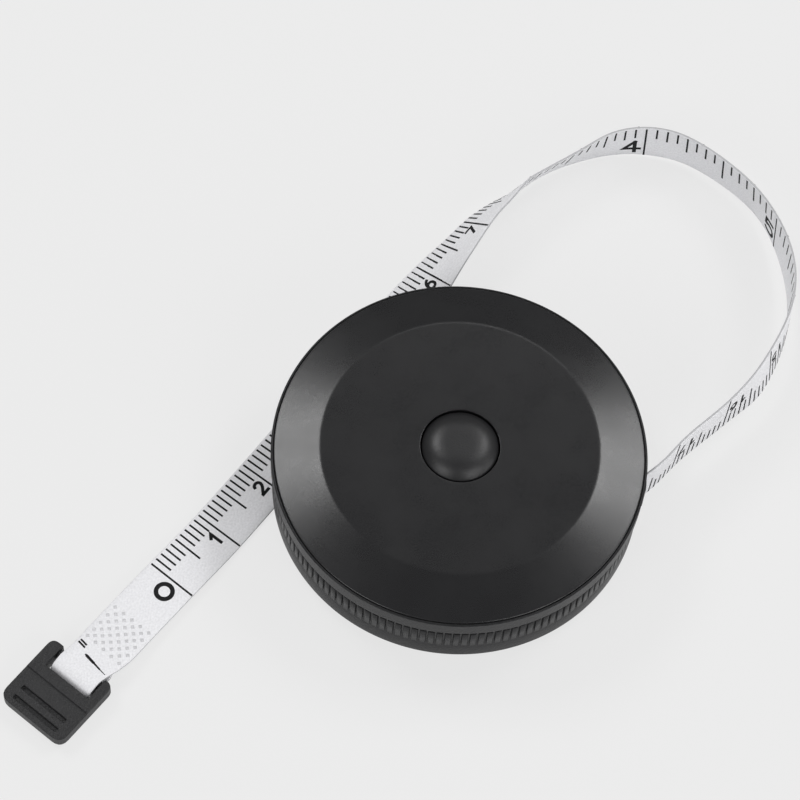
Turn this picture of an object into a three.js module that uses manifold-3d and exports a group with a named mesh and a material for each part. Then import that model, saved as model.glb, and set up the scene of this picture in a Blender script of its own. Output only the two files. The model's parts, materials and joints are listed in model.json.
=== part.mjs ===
// Round push-button tape measure: knurled case, spring reel, 150 cm cloth tape and end tab.
// Millimetres, +Z up along the reel axis, origin at the centre of the back face.

import * as THREE from 'three';
import { mergeVertices } from 'three/addons/utils/BufferGeometryUtils.js';
import Module from 'manifold-3d';

const wasm = await Module();
wasm.setup();

// Fits and facets

const GAP = 0.3;                  // clearance between pieces that touch
const BEARING_GAP = 0.35;         // reel on its boss, springs in their pockets, button in its hole
const CUT = 1;                    // overrun of a cutting form
const BITE = 0.2;                 // overlap of forms that are joined
const SEGMENTS = 64;              // facets round the axis

// Tape

const TAPE_WIDTH = 7.8;
const TAPE_THICKNESS = 0.35;
const NECK_WIDTH = 6.8;           // tape where it is folded round the tab's bar
const NECK_SHIFT = 0.4;           // from the bar's middle
const TAPE_LENGTH = 1520;         // end loop to drum
const TAPE_OFF_REEL = 295;        // loose length with the last turn
const TAPE_LAYER = 0.375;         // one wound layer
const TAPE_LIFT = 0.1;            // tape above the ground
const LAST_TURN = 255;            // degrees of the turn that lies on the wound tape

// Case

const CASE_DIAMETER = 51.2;       // over the two covers
const FACE_DIAMETER = 38.1;       // flat front face
const BACK_FACE_DIAMETER = 26;    // flat back face
const SHELL = 1.5;                // cover wall
const BEVEL_DROP = 1.7;           // face to bevel edge
const EDGE_WALL = 0.75;           // upright edge below the bevel
const EDGE_ROUND = 0.3;
const FLOOR_SPACE = 1.1;          // cover to reel flange
const BAND_INSET = 0.1;           // band radius below front cover radius
const BACK_INSET = 0.6;           // back cover radius below front cover radius
const BAND_WALL = 2.1;
const SPIGOT_WALL = 1.1;
const KNURL_RIBS = 140;
const KNURL_HEIGHT = 3.8;
const KNURL_DEPTH = 0.3;
const RIB_INSET = 0.05;           // rib tops below the band's surface
const RIB_LAND = 0.6;             // flat rib top as a share of the pitch
const LINE_HEIGHT = 0.4;          // groove above the ribs
const MOUTH_ANGLE = -0.2;         // degrees from +X
const MOUTH_WIDTH = 1.0;
const LIP_PROUD = 0.5;            // lip on one side of the mouth
const LIP_WALL = 1.0;
const LIP_HEIGHT = 5;

// Reel and its bearing

const DRUM_DIAMETER = 25.2;
const DRUM_WALL = 1.2;
const FLANGE = 0.7;
const FLANGE_OVERHANG = 0.9;      // flange beyond the last turn
const RIM_WALL = 0.7;             // locating rim under the reel cover
const RIM_DEPTH = 1.0;
const THRUST_DIAMETER = 18;       // ring that carries the reel
const THRUST_WIDTH = 1.4;
const BOSS_WALL = 0.4;            // boss beyond the arbor
const BOSS_RISE = 0.2;            // boss above the reel floor

// Button, brake and springs

const BUTTON_DIAMETER = 10.5;
const BUTTON_DOME = 1.35;         // crown height over the front face
const BUTTON_RIM_DROP = 0.35;     // dome edge below the front face
const BUTTON_TRAVEL = 1.2;
const BUTTON_FLANGE = 0.8;
const TUBE_WALL = 1.0;            // guide tube round the button
const SEAT_DEPTH = 1.5;           // spring seat above the button's flange
const BRAKE_HEIGHT = 0.45;
const BRAKE_WIDTH = 1.5;
const ARBOR_DIAMETER = 7.6;
const ARBOR_HEIGHT = 3.8;         // post above its shoulder
const SOCKET_FLATS = 4.4;         // hexagon foot of the arbor
const SOCKET_DEPTH = 0.5;         // socket into the back cover's wall
const POCKET_DEPTH = 2.2;         // spring pocket in the arbor
const BORE_DEPTH = 2.4;           // stem bore under the pocket
const STEM_FLATS = 2.4;
const SPRING_WIRE = 0.4;
const SPRING_RADIUS = 2.05;
const SPRING_TURNS = 7;
const MAIN_SPRING_STRIP = 0.3;
const MAIN_SPRING_HEIGHT = 3.2;
const MAIN_SPRING_TURNS = 6;
const HOOK_SLOT = 0.8;            // slot in the arbor for the main spring's hook
const HOOK = [[-0.5, 0], [0, 0], [0.25, 0.06], [0.46, 0.26]];   // from the arbor's surface: out, across
const HOOK_RISE = 0.55;           // first coil above the arbor
const HOOK_ANGLE = 0.14;          // first coil's start, radians

// End tab

const TAB_WIDTH = 10.9;
const TAB_LENGTH = 10.8;
const TAB_THICKNESS = 2.5;
const TAB_CORNER = 1.6;           // at the grip end
const TAB_FRONT_CORNER = 1.2;     // beside the tape
const TAB_EDGE = 0.35;            // rounded edges
const TAB_BAR = 0.7;              // bar radius
const TAB_SLOT_ROOM = 0.35;       // slot behind the tape loop
const TAB_SIDE_ROOM = 0.5;        // slot beside the tape, on the side that it leaves free
const LOOP_REACH = 2.1;           // tape loop behind the bar's centre
const TAB_STEP = 5.5;             // lowered grip, from the grip end
const TAB_STEP_DEPTH = 0.3;
const TAB_GROOVES = [2.9, 1.2];   // groove centres from the grip end
const TAB_GROOVE_WIDTH = 0.6;
const TAB_GROOVE_LENGTH = 7.7;
const TAB_GROOVE_DEPTH = 0.5;
const WELD_LENGTH = 11;           // tape folded back under itself

// Loose tape from the tab's bar to the mouth: x, y and height of the centre line in mm,
// then its turn about its own length in degrees, 0 flat and 90 on edge

const TAB_PLACE = [-48.66, -32.09];
const TAB_HEADING = 55.5;         // from the bar along the tape, degrees from +X
const ROUTE = [
  [-45.4, -28.8, 1.9, 0],
  [-42.6, -24.5, 1.2, 0],
  [-37.7, -17.4, 0.9, 0],
  [-32.2, -9.4, 0.4, 0],
  [-21.5, 7.4, 0.3, 0],
  [-12.1, 22.6, 0.4, 0],
  [-8.9, 27.6, 1.0, 10],
  [-5.8, 32.5, 2.1, 26],
  [-2.5, 37.3, 3.5, 42],
  [0.8, 42.1, 4.5, 53],
  [3.3, 45, 4.6, 60],
  [6, 47.9, 4.4, 71],
  [9, 50.6, 4.3, 69.5],
  [13, 53.5, 4.2, 72],
  [19, 56.8, 4.2, 84.5],
  [24.8, 57.6, 4.4, 89],
  [30.5, 56.2, 4.6, 87],
  [40.3, 48.6, 5.1, 84],
  [45, 38.5, 5.9, 90],
  [45.5, 29.9, 6.4, 88],
  [41.8, 19.1, 6.8, 82],
  [37.3, 13.2, 7.1, 89.5],
  [31, 6.4, 7.4, 91.5],
];
// Knots on the straight run, from the mouth inward, with their turn
const MOUTH_STEPS = [[-3, 92], [3, 90], [10, 90]];

// Levels and radii

const DEG = Math.PI / 180;
const TAPE_HALF = TAPE_WIDTH / 2;
const NECK_HALF = NECK_WIDTH / 2;
const FLANGE_IN = TAPE_HALF + GAP;
const FLANGE_OUT = FLANGE_IN + FLANGE;
const MID = SHELL + FLOOR_SPACE + FLANGE_OUT;
const CASE_HEIGHT = 2 * MID;
const COVER_R = CASE_DIAMETER / 2;
const BAND_R = COVER_R - BAND_INSET;
const BACK_R = COVER_R - BACK_INSET;
const BAND_INNER = BAND_R - BAND_WALL;
const SPIGOT_R = BAND_INNER - GAP;
const SPIGOT_INNER = SPIGOT_R - SPIGOT_WALL;
const COVER_END = BEVEL_DROP + EDGE_WALL - GAP / 2;
const BAND_BOTTOM = COVER_END + GAP;
const BAND_TOP = CASE_HEIGHT - BAND_BOTTOM;
const SPIGOT_END = MID - FLANGE_IN;

const DRUM_R = DRUM_DIAMETER / 2;
const DRUM_INNER = DRUM_R - DRUM_WALL;
const WOUND_INNER = DRUM_R + GAP;
const WOUND_AREA = (TAPE_LENGTH - TAPE_OFF_REEL) * TAPE_LAYER;
const WOUND_R = Math.sqrt(WOUND_INNER ** 2 + WOUND_AREA / Math.PI);
const RUN_R = WOUND_R + GAP + TAPE_THICKNESS / 2;
const FLANGE_R = RUN_R + FLANGE_OVERHANG;
const REEL_COVER_UNDER = MID + FLANGE_IN;

const ARBOR_R = ARBOR_DIAMETER / 2;
const BOSS_R = ARBOR_R + BOSS_WALL;
const BOSS_TOP = MID - FLANGE_IN + BOSS_RISE;
const THRUST_TOP = SHELL + FLOOR_SPACE - GAP;
const SOCKET_FLOOR = SHELL - SOCKET_DEPTH;
const ARBOR_FOOT = BOSS_TOP + GAP;
const ARBOR_TOP = ARBOR_FOOT + ARBOR_HEIGHT;
const POCKET_R = SPRING_RADIUS + SPRING_WIRE / 2 + BEARING_GAP;
const POCKET_FLOOR = ARBOR_TOP - POCKET_DEPTH;
const BORE_FLOOR = POCKET_FLOOR - BORE_DEPTH;

const BUTTON_R = BUTTON_DIAMETER / 2;
const HOLE_R = BUTTON_R + BEARING_GAP;
const TUBE_R = HOLE_R + TUBE_WALL;
const REEL_HOLE_R = TUBE_R + GAP;
const BRAKE_TOP = REEL_COVER_UNDER - GAP;
const BRAKE_BOTTOM = BRAKE_TOP - BRAKE_HEIGHT;
const BRAKE_INNER = REEL_HOLE_R + GAP;
const BRAKE_R = BRAKE_INNER + BRAKE_WIDTH;
const BUTTON_FLANGE_TOP = BRAKE_BOTTOM - GAP;
const BUTTON_FLANGE_BOTTOM = BUTTON_FLANGE_TOP - BUTTON_FLANGE;
const SEAT_TOP = BUTTON_FLANGE_TOP + SEAT_DEPTH;
const STEM_BOTTOM = BORE_FLOOR + BUTTON_TRAVEL + GAP;

// Closed solids from three.js geometry

function weld(geometry) {
  const round = (v) => Math.round(v * 1e5) / 1e5;
  const bare = geometry.clone();
  for (const name of ['normal', 'uv']) {
    bare.deleteAttribute(name);
  }
  const pos = bare.getAttribute('position');
  for (let i = 0; i < pos.count; i++) {
    pos.setXYZ(i, round(pos.getX(i)), round(pos.getY(i)), round(pos.getZ(i)));
  }
  const g = mergeVertices(bare, 1e-4);
  const src = g.index.array;
  const kept = [];
  for (let i = 0; i < src.length; i += 3) {
    const [a, b, c] = [src[i], src[i + 1], src[i + 2]];
    if (a !== b && b !== c && c !== a) {
      kept.push(a, b, c);
    }
  }
  g.setIndex(kept);
  return g;
}

function signedVolume(xyz, tri) {
  let sum = 0;
  for (let i = 0; i < tri.length; i += 3) {
    const [a, b, c] = [tri[i], tri[i + 1], tri[i + 2]].map((v) => new THREE.Vector3().fromArray(xyz, 3 * v));
    sum += a.dot(b.cross(c));
  }
  return sum / 6;
}

// The faces are turned outward
function solid(geometry) {
  const g = weld(geometry);
  const xyz = new Float32Array(g.getAttribute('position').array);
  const tri = new Uint32Array(g.index.array);
  if (signedVolume(xyz, tri) < 0) {
    tri.reverse();
  }
  return new wasm.Manifold(new wasm.Mesh({ numProp: 3, vertProperties: xyz, triVerts: tri }));
}

function geometryOf(manifold) {
  const mesh = manifold.getMesh();
  const g = new THREE.BufferGeometry();
  g.setAttribute('position', new THREE.BufferAttribute(new Float32Array(mesh.vertProperties), 3));
  g.setIndex(new THREE.BufferAttribute(new Uint32Array(mesh.triVerts), 1));
  return g;
}

// Closed profile of [radius, height] pairs turned about Z
function turned(profile) {
  const pts = [...profile, profile[0]].map(([r, z]) => new THREE.Vector2(r, z));
  const g = new THREE.LatheGeometry(pts, SEGMENTS);
  g.rotateX(Math.PI / 2);
  return solid(g);
}

function ring(inner, outer, z0, z1) {
  return turned([[inner, z0], [outer, z0], [outer, z1], [inner, z1]]);
}

function prism(points, z0, z1) {
  const shape = new THREE.Shape(points.map(([x, y]) => new THREE.Vector2(x, y)));
  const g = new THREE.ExtrudeGeometry(shape, { depth: z1 - z0, bevelEnabled: false });
  g.translate(0, 0, z0);
  return solid(g);
}

function polar(r, angle) {
  return [r * Math.cos(angle), r * Math.sin(angle)];
}

function hexagon(flats) {
  return [0, 60, 120, 180, 240, 300].map((a) => polar(flats / Math.sqrt(3), a * DEG));
}

function box(x0, x1, y0, y1, z0, z1) {
  return prism([[x0, y0], [x1, y0], [x1, y1], [x0, y1]], z0, z1);
}

// Flat strip through stations { p, w, half }: p the centre line, w the direction across, half the half width.
// Both faces are split along the same diagonal, so a twisted strip keeps its thickness
function strip(stations, thickness) {
  const last = stations.length - 1;
  const corners = [[-1, -1], [1, -1], [1, 1], [-1, 1]];
  const xyz = [];
  const tri = [];
  stations.forEach(({ p, w, half }, i) => {
    const before = stations[Math.max(i - 1, 0)].p;
    const after = stations[Math.min(i + 1, last)].p;
    const along = after.clone().sub(before).normalize();
    const across = w.clone().addScaledVector(along, -w.dot(along)).normalize();
    const normal = across.clone().cross(along);
    for (const [x, y] of corners) {
      const q = p.clone().addScaledVector(across, x * half).addScaledVector(normal, y * thickness / 2);
      xyz.push(q.x, q.y, q.z);
    }
  });
  for (let i = 0; i < last; i++) {
    for (let k = 0; k < 4; k++) {
      const a = 4 * i + k;
      const b = 4 * i + (k + 1) % 4;
      if (k < 2) {
        tri.push(a, b, b + 4, a, b + 4, a + 4);
      } else {
        tri.push(a, b, a + 4, b, b + 4, a + 4);
      }
    }
  }
  const e = 4 * last;
  tri.push(0, 2, 1, 0, 3, 2, e, e + 1, e + 2, e, e + 2, e + 3);
  const g = new THREE.BufferGeometry();
  g.setAttribute('position', new THREE.Float32BufferAttribute(xyz, 3));
  g.setIndex(tri);
  return solid(g);
}

// Covers, drawn from the face upward

function coverProfile(edgeR, faceR, holeR, inside) {
  const innerSlope = (SPIGOT_INNER - faceR) / (edgeR - faceR) * BEVEL_DROP;
  return [
    [holeR, 0],
    [faceR, 0],
    [edgeR - EDGE_ROUND, BEVEL_DROP],
    [edgeR, BEVEL_DROP + EDGE_ROUND],
    [edgeR, COVER_END],
    [SPIGOT_R, COVER_END],
    [SPIGOT_R, SPIGOT_END],
    [SPIGOT_INNER, SPIGOT_END],
    [SPIGOT_INNER, SHELL + innerSlope],
    [faceR, SHELL],
    ...inside,
  ];
}

const thrustAndBoss = [
  [THRUST_DIAMETER / 2, SHELL],
  [THRUST_DIAMETER / 2, THRUST_TOP],
  [THRUST_DIAMETER / 2 - THRUST_WIDTH, THRUST_TOP],
  [THRUST_DIAMETER / 2 - THRUST_WIDTH, SHELL],
  [BOSS_R, SHELL],
  [BOSS_R, BOSS_TOP],
  [0, BOSS_TOP],
];
const backCover = turned(coverProfile(BACK_R, BACK_FACE_DIAMETER / 2, 0, thrustAndBoss))
  .subtract(prism(hexagon(SOCKET_FLATS + 2 * GAP), SOCKET_FLOOR, BOSS_TOP + CUT));

const guideTube = [
  [TUBE_R, SHELL],
  [TUBE_R, SPIGOT_END],
  [HOLE_R, SPIGOT_END],
];
const topProfile = coverProfile(COVER_R, FACE_DIAMETER / 2, HOLE_R, guideTube);
const topCover = turned(topProfile.map(([r, z]) => [r, CASE_HEIGHT - z]));

// Band with ribs under a groove

function knurledBand() {
  const half = KNURL_HEIGHT / 2;
  const grooveR = BAND_R - KNURL_DEPTH;
  const ribR = BAND_R - RIB_INSET;
  const outline = [];
  for (let i = 0; i < KNURL_RIBS; i++) {
    const pitch = 2 * Math.PI / KNURL_RIBS;
    outline.push(polar(grooveR, i * pitch));
    outline.push(polar(ribR, (i + 0.5 - RIB_LAND / 2) * pitch));
    outline.push(polar(ribR, (i + 0.5 + RIB_LAND / 2) * pitch));
  }
  const body = ring(BAND_INNER, BAND_R, BAND_BOTTOM, BAND_TOP);
  const groove = ring(grooveR, BAND_R + CUT, MID - half, MID + half + LINE_HEIGHT);
  const bore = ring(0, BAND_INNER + BITE, MID - half - CUT, MID + half + CUT);
  const ribs = prism(outline, MID - half, MID + half).subtract(bore);
  return body.subtract(groove).add(ribs);
}

// The tape runs in a straight line from the last turn through the mouth

const lean = Math.asin(RUN_R / BAND_R);
const runHeading = MOUTH_ANGLE * DEG + Math.PI + lean;
const run = new THREE.Vector3(...polar(1, runHeading), 0);
const mouth = new THREE.Vector3(...polar(BAND_R, MOUTH_ANGLE * DEG), MID);

function alongRun(start, end, left, right, halfHeight) {
  const side = new THREE.Vector3(-run.y, run.x, 0);
  const corner = (l, s) => mouth.clone().addScaledVector(run, l).addScaledVector(side, s);
  const points = [corner(start, left), corner(end, left), corner(end, right), corner(start, right)];
  return prism(points.map((q) => [q.x, q.y]), MID - halfHeight, MID + halfHeight);
}

const wallRun = BAND_WALL / Math.cos(lean);
const lipRun = LIP_PROUD / Math.cos(lean) + 2 * CUT;
const mouthHalf = MOUTH_WIDTH / 2;
const lip = alongRun(-lipRun, wallRun, 0, mouthHalf + LIP_WALL, LIP_HEIGHT / 2)
  .intersect(ring(BAND_INNER + BITE, BAND_R + LIP_PROUD, MID - LIP_HEIGHT, MID + LIP_HEIGHT));
const slot = alongRun(-lipRun - CUT, wallRun + 2 * CUT, -mouthHalf, mouthHalf, FLANGE_IN);
const caseBand = knurledBand().add(lip).subtract(slot);

// Reel

const reelDrum = turned([
  [BOSS_R + BEARING_GAP, MID - FLANGE_OUT],
  [FLANGE_R, MID - FLANGE_OUT],
  [FLANGE_R, MID - FLANGE_IN],
  [DRUM_R, MID - FLANGE_IN],
  [DRUM_R, REEL_COVER_UNDER - GAP],
  [DRUM_INNER, REEL_COVER_UNDER - GAP],
  [DRUM_INNER, MID - FLANGE_IN],
  [BOSS_R + BEARING_GAP, MID - FLANGE_IN],
]);

const rimR = DRUM_INNER - GAP;
const reelCover = turned([
  [REEL_HOLE_R, REEL_COVER_UNDER],
  [rimR - RIM_WALL, REEL_COVER_UNDER],
  [rimR - RIM_WALL, REEL_COVER_UNDER - RIM_DEPTH],
  [rimR, REEL_COVER_UNDER - RIM_DEPTH],
  [rimR, REEL_COVER_UNDER],
  [FLANGE_R, REEL_COVER_UNDER],
  [FLANGE_R, MID + FLANGE_OUT],
  [REEL_HOLE_R, MID + FLANGE_OUT],
]);

const woundTape = ring(WOUND_INNER, WOUND_R, MID - TAPE_HALF, MID + TAPE_HALF);

// Arbor with a hexagon foot, a spring pocket, a stem bore and a slot for the main spring's hook

const hookHalf = MAIN_SPRING_STRIP / 2 + GAP;
const hookSlot = box(ARBOR_R - HOOK_SLOT, ARBOR_R + CUT, -hookHalf, hookHalf, ARBOR_FOOT, ARBOR_TOP + CUT);
const arbor = ring(0, ARBOR_R, ARBOR_FOOT, ARBOR_TOP)
  .add(prism(hexagon(SOCKET_FLATS), SOCKET_FLOOR + GAP, ARBOR_FOOT + BITE))
  .subtract(ring(0, POCKET_R, POCKET_FLOOR, ARBOR_TOP + CUT))
  .subtract(prism(hexagon(STEM_FLATS + 2 * GAP), BORE_FLOOR, POCKET_FLOOR + CUT))
  .subtract(hookSlot);

function mainSpring() {
  const coilSteps = 32;
  const firstR = ARBOR_R + HOOK_RISE;
  const lastR = DRUM_INNER - GAP - MAIN_SPRING_STRIP;
  const points = HOOK.map(([out, across]) => [ARBOR_R + out, across]);
  const steps = MAIN_SPRING_TURNS * coilSteps;
  for (let i = 0; i <= steps; i++) {
    const angle = HOOK_ANGLE + i / coilSteps * 2 * Math.PI;
    points.push(polar(firstR + (lastR - firstR) * i / steps, angle));
  }
  const w = new THREE.Vector3(0, 0, 1);
  const z = ARBOR_FOOT + MAIN_SPRING_HEIGHT / 2;
  const half = MAIN_SPRING_HEIGHT / 2;
  const stations = points.map(([x, y]) => ({ p: new THREE.Vector3(x, y, z), w, half }));
  return strip(stations, MAIN_SPRING_STRIP);
}

// Button, brake and return spring

function domeProfile() {
  const domeSteps = 8;
  const top = CASE_HEIGHT + BUTTON_DOME;
  const rise = BUTTON_DOME + BUTTON_RIM_DROP;
  const sphere = (BUTTON_R ** 2 + rise ** 2) / (2 * rise);
  const half = Math.asin(BUTTON_R / sphere);
  const points = [];
  for (let i = 0; i < domeSteps; i++) {
    const a = half * (1 - i / domeSteps);
    points.push([sphere * Math.sin(a), top - sphere * (1 - Math.cos(a))]);
  }
  points.push([0, top]);
  return points;
}

const pushButton = turned([
  [0, SEAT_TOP],
  [POCKET_R, SEAT_TOP],
  [POCKET_R, BUTTON_FLANGE_BOTTOM],
  [BRAKE_R, BUTTON_FLANGE_BOTTOM],
  [BRAKE_R, BUTTON_FLANGE_TOP],
  [BUTTON_R, BUTTON_FLANGE_TOP],
  ...domeProfile(),
]).add(prism(hexagon(STEM_FLATS), STEM_BOTTOM, SEAT_TOP + BITE));

const brakeRing = ring(BRAKE_INNER, BRAKE_R, BRAKE_BOTTOM, BRAKE_TOP);

function buttonSpring() {
  const coilSteps = 16;
  const bottom = POCKET_FLOOR + GAP + SPRING_WIRE / 2;
  const top = SEAT_TOP - GAP - SPRING_WIRE / 2;
  const steps = SPRING_TURNS * coilSteps;
  const points = [];
  for (let i = 0; i <= steps; i++) {
    const [x, y] = polar(SPRING_RADIUS, i / coilSteps * 2 * Math.PI);
    points.push(new THREE.Vector3(x, y, bottom + (top - bottom) * i / steps));
  }
  const wire = hexagon(SPRING_WIRE).map(([x, y]) => new THREE.Vector2(x, y));
  const extrudePath = new THREE.CatmullRomCurve3(points);
  return solid(new THREE.ExtrudeGeometry(new THREE.Shape(wire), { steps, extrudePath, bevelEnabled: false }));
}

// Tape: folded round the tab's bar, along the loose route, through the mouth and once round the reel

const loopR = TAB_BAR + GAP + TAPE_THICKNESS / 2;
const underZ = TAPE_LIFT + TAPE_THICKNESS / 2;
const bar = new THREE.Vector3(...TAB_PLACE, underZ + loopR);
const tabHeading = TAB_HEADING * DEG;
const tabAcross = new THREE.Vector3(...polar(1, tabHeading - Math.PI / 2), 0);
const neck = bar.clone().addScaledVector(tabAcross, NECK_SHIFT);

function foldStations() {
  const weldSteps = 4;
  const loopSteps = 10;
  const along = new THREE.Vector3(...polar(1, tabHeading), 0);
  const at = (u, z) => ({ p: neck.clone().addScaledVector(along, u).setZ(z), w: tabAcross, half: NECK_HALF });
  const out = [];
  for (let i = 0; i < weldSteps; i++) {
    out.push(at(WELD_LENGTH * (1 - i / weldSteps), underZ));
  }
  for (let i = 0; i <= loopSteps; i++) {
    const [u, z] = polar(loopR, -Math.PI / 2 - i / loopSteps * Math.PI);
    out.push(at(u * LOOP_REACH / loopR, bar.z + z));
  }
  return out;
}

function routeKnots() {
  const turnSteps = 15;
  const knots = [{ p: neck.clone().setZ(bar.z + loopR), roll: 0 }];
  for (const [x, y, z, roll] of ROUTE) {
    knots.push({ p: new THREE.Vector3(x, y, z), roll: roll * DEG });
  }
  for (const [step, roll] of MOUTH_STEPS) {
    knots.push({ p: mouth.clone().addScaledVector(run, step), roll: roll * DEG });
  }
  const touch = runHeading - 1.5 * Math.PI;
  for (let i = 0; i <= turnSteps; i++) {
    const [x, y] = polar(RUN_R, touch - i / turnSteps * LAST_TURN * DEG);
    knots.push({ p: new THREE.Vector3(x, y, MID), roll: Math.PI / 2 });
  }
  return knots;
}

function tapeStations() {
  const perKnot = 2;
  const knots = routeKnots();
  const curve = new THREE.CatmullRomCurve3(knots.map((k) => k.p), false, 'centripetal');
  const steps = (knots.length - 1) * perKnot;
  const out = foldStations();
  for (let i = 1; i <= steps; i++) {
    const k = Math.min(Math.floor(i / perKnot), knots.length - 2);
    const f = i / perKnot - k;
    const roll = knots[k].roll + (knots[k + 1].roll - knots[k].roll) * f;
    const along = curve.getTangent(i / steps);
    const left = new THREE.Vector3(-along.y, along.x, 0).normalize();
    const above = along.clone().cross(left);
    const w = left.multiplyScalar(-Math.cos(roll)).addScaledVector(above, Math.sin(roll));
    const half = Math.min(NECK_HALF + (TAPE_HALF - NECK_HALF) * i / perKnot, TAPE_HALF);
    out.push({ p: curve.getPoint(i / steps), w, half });
  }
  return out;
}

const tape = strip(tapeStations(), TAPE_THICKNESS);

// End tab, drawn with its bar at the origin and the grip toward -X

function endTab() {
  const front = TAB_BAR + GAP;
  const back = front - TAB_LENGTH;
  const h = TAB_WIDTH / 2;
  const top = TAB_THICKNESS / 2;
  const slotRight = NECK_HALF + NECK_SHIFT + GAP;
  const slotLeft = NECK_HALF - NECK_SHIFT + TAB_SIDE_ROOM;
  const f = TAB_FRONT_CORNER;
  const c = TAB_CORNER;
  const shape = new THREE.Shape();
  shape.moveTo(back + c, -h);
  shape.lineTo(front - f, -h);
  shape.quadraticCurveTo(front, -h, front, -h + f);
  shape.lineTo(front, h - f);
  shape.quadraticCurveTo(front, h, front - f, h);
  shape.lineTo(back + c, h);
  shape.quadraticCurveTo(back, h, back, h - c);
  shape.lineTo(back, -h + c);
  shape.quadraticCurveTo(back, -h, back + c, -h);
  const plate = new THREE.ExtrudeGeometry(shape, {
    depth: TAB_THICKNESS - 2 * TAB_EDGE,
    curveSegments: 5,
    bevelEnabled: true,
    bevelThickness: TAB_EDGE,
    bevelSize: TAB_EDGE,
    bevelOffset: -TAB_EDGE,
    bevelSegments: 2,
  });
  plate.translate(0, 0, TAB_EDGE - top);
  const rod = new THREE.CylinderGeometry(TAB_BAR, TAB_BAR, slotLeft + slotRight + 2 * BITE, 20);
  rod.translate(0, (slotLeft - slotRight) / 2, 0);
  const slotBack = -LOOP_REACH - TAPE_THICKNESS / 2 - TAB_SLOT_ROOM;
  const grip = top - TAB_STEP_DEPTH;
  let tab = solid(plate)
    .subtract(box(slotBack, front + CUT, -slotRight, slotLeft, -top - CUT, top + CUT))
    .add(solid(rod))
    .subtract(box(back - CUT, back + TAB_STEP, -h - CUT, h + CUT, grip, top + CUT));
  for (const place of TAB_GROOVES) {
    const u0 = back + place - TAB_GROOVE_WIDTH / 2;
    const u1 = back + place + TAB_GROOVE_WIDTH / 2;
    const reach = TAB_GROOVE_LENGTH / 2;
    tab = tab.subtract(box(u0, u1, -reach, reach, grip - TAB_GROOVE_DEPTH, top + CUT));
  }
  return tab;
}

// Assembly

const group = new THREE.Group();
group.name = 'push_button_tape_measure';

function piece(name, form, color, roughness, metalness = 0) {
  const g = geometryOf(form);
  g.computeVertexNormals();
  const mesh = new THREE.Mesh(g, new THREE.MeshStandardMaterial({ color, roughness, metalness }));
  mesh.name = name;
  group.add(mesh);
  return mesh;
}

piece('back_cover', backCover, 0x1b1b1c, 0.35);
piece('case_band', caseBand, 0x2a2a2b, 0.7);
piece('top_cover', topCover, 0x1b1b1c, 0.35);
piece('arbor', arbor, 0x8a8a86, 0.5);
piece('main_spring', mainSpring(), 0x6f7278, 0.3, 1);
piece('reel_drum', reelDrum, 0xd8d6cf, 0.5);
piece('reel_cover', reelCover, 0xd8d6cf, 0.5);
piece('wound_tape', woundTape, 0xdadadc, 0.8);
piece('push_button', pushButton, 0x1f1f20, 0.4);
piece('brake_ring', brakeRing, 0x3a2f2a, 0.9);
piece('button_spring', buttonSpring(), 0xb9bcc0, 0.25, 1);
piece('tape', tape, 0xdadadc, 0.8);
const tabMesh = piece('end_tab', endTab(), 0x232324, 0.55);
tabMesh.rotation.z = tabHeading;
tabMesh.position.copy(bar);

export default group;
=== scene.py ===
import json
import math

import bmesh
import bpy
import numpy as np
from bpy.props import FloatProperty, FloatVectorProperty, IntProperty, PointerProperty
from mathutils import Matrix, Vector


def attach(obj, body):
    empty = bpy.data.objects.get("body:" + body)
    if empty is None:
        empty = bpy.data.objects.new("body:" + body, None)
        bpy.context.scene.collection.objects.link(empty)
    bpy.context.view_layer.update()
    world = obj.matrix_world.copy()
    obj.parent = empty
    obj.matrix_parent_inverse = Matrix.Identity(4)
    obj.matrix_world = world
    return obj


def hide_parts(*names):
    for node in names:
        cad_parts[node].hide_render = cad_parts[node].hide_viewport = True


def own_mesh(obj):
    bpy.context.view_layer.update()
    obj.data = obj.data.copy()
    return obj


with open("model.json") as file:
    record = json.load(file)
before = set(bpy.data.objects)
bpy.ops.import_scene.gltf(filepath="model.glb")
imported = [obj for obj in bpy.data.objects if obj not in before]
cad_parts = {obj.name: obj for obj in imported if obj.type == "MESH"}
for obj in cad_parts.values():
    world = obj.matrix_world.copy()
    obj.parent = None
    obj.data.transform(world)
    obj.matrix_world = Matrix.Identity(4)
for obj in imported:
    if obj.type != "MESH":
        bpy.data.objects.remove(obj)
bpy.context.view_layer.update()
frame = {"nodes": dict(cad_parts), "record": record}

bl_info = {
    "name": "Push-button cloth tape measure",
    "version": (1, 0, 0),
    "blender": (4, 5, 0),
    "location": "View3D > Sidebar > Tape measure",
    "description": "Builds a round pocket tape measure with its loop of cloth tape, piece by piece",
    "category": "Add Mesh",
}

MM = 0.001

# Limits for merged corners, points on the axis, level edges and short stretches
MERGE, ON_AXIS, LEVEL, SHORTEST = 1e-6, 1e-7, 1e-6, 0.01 * MM
FINISHES = {m["slot"]: tuple(m["base_color"]) for m in frame["record"]["materials"]}

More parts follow.
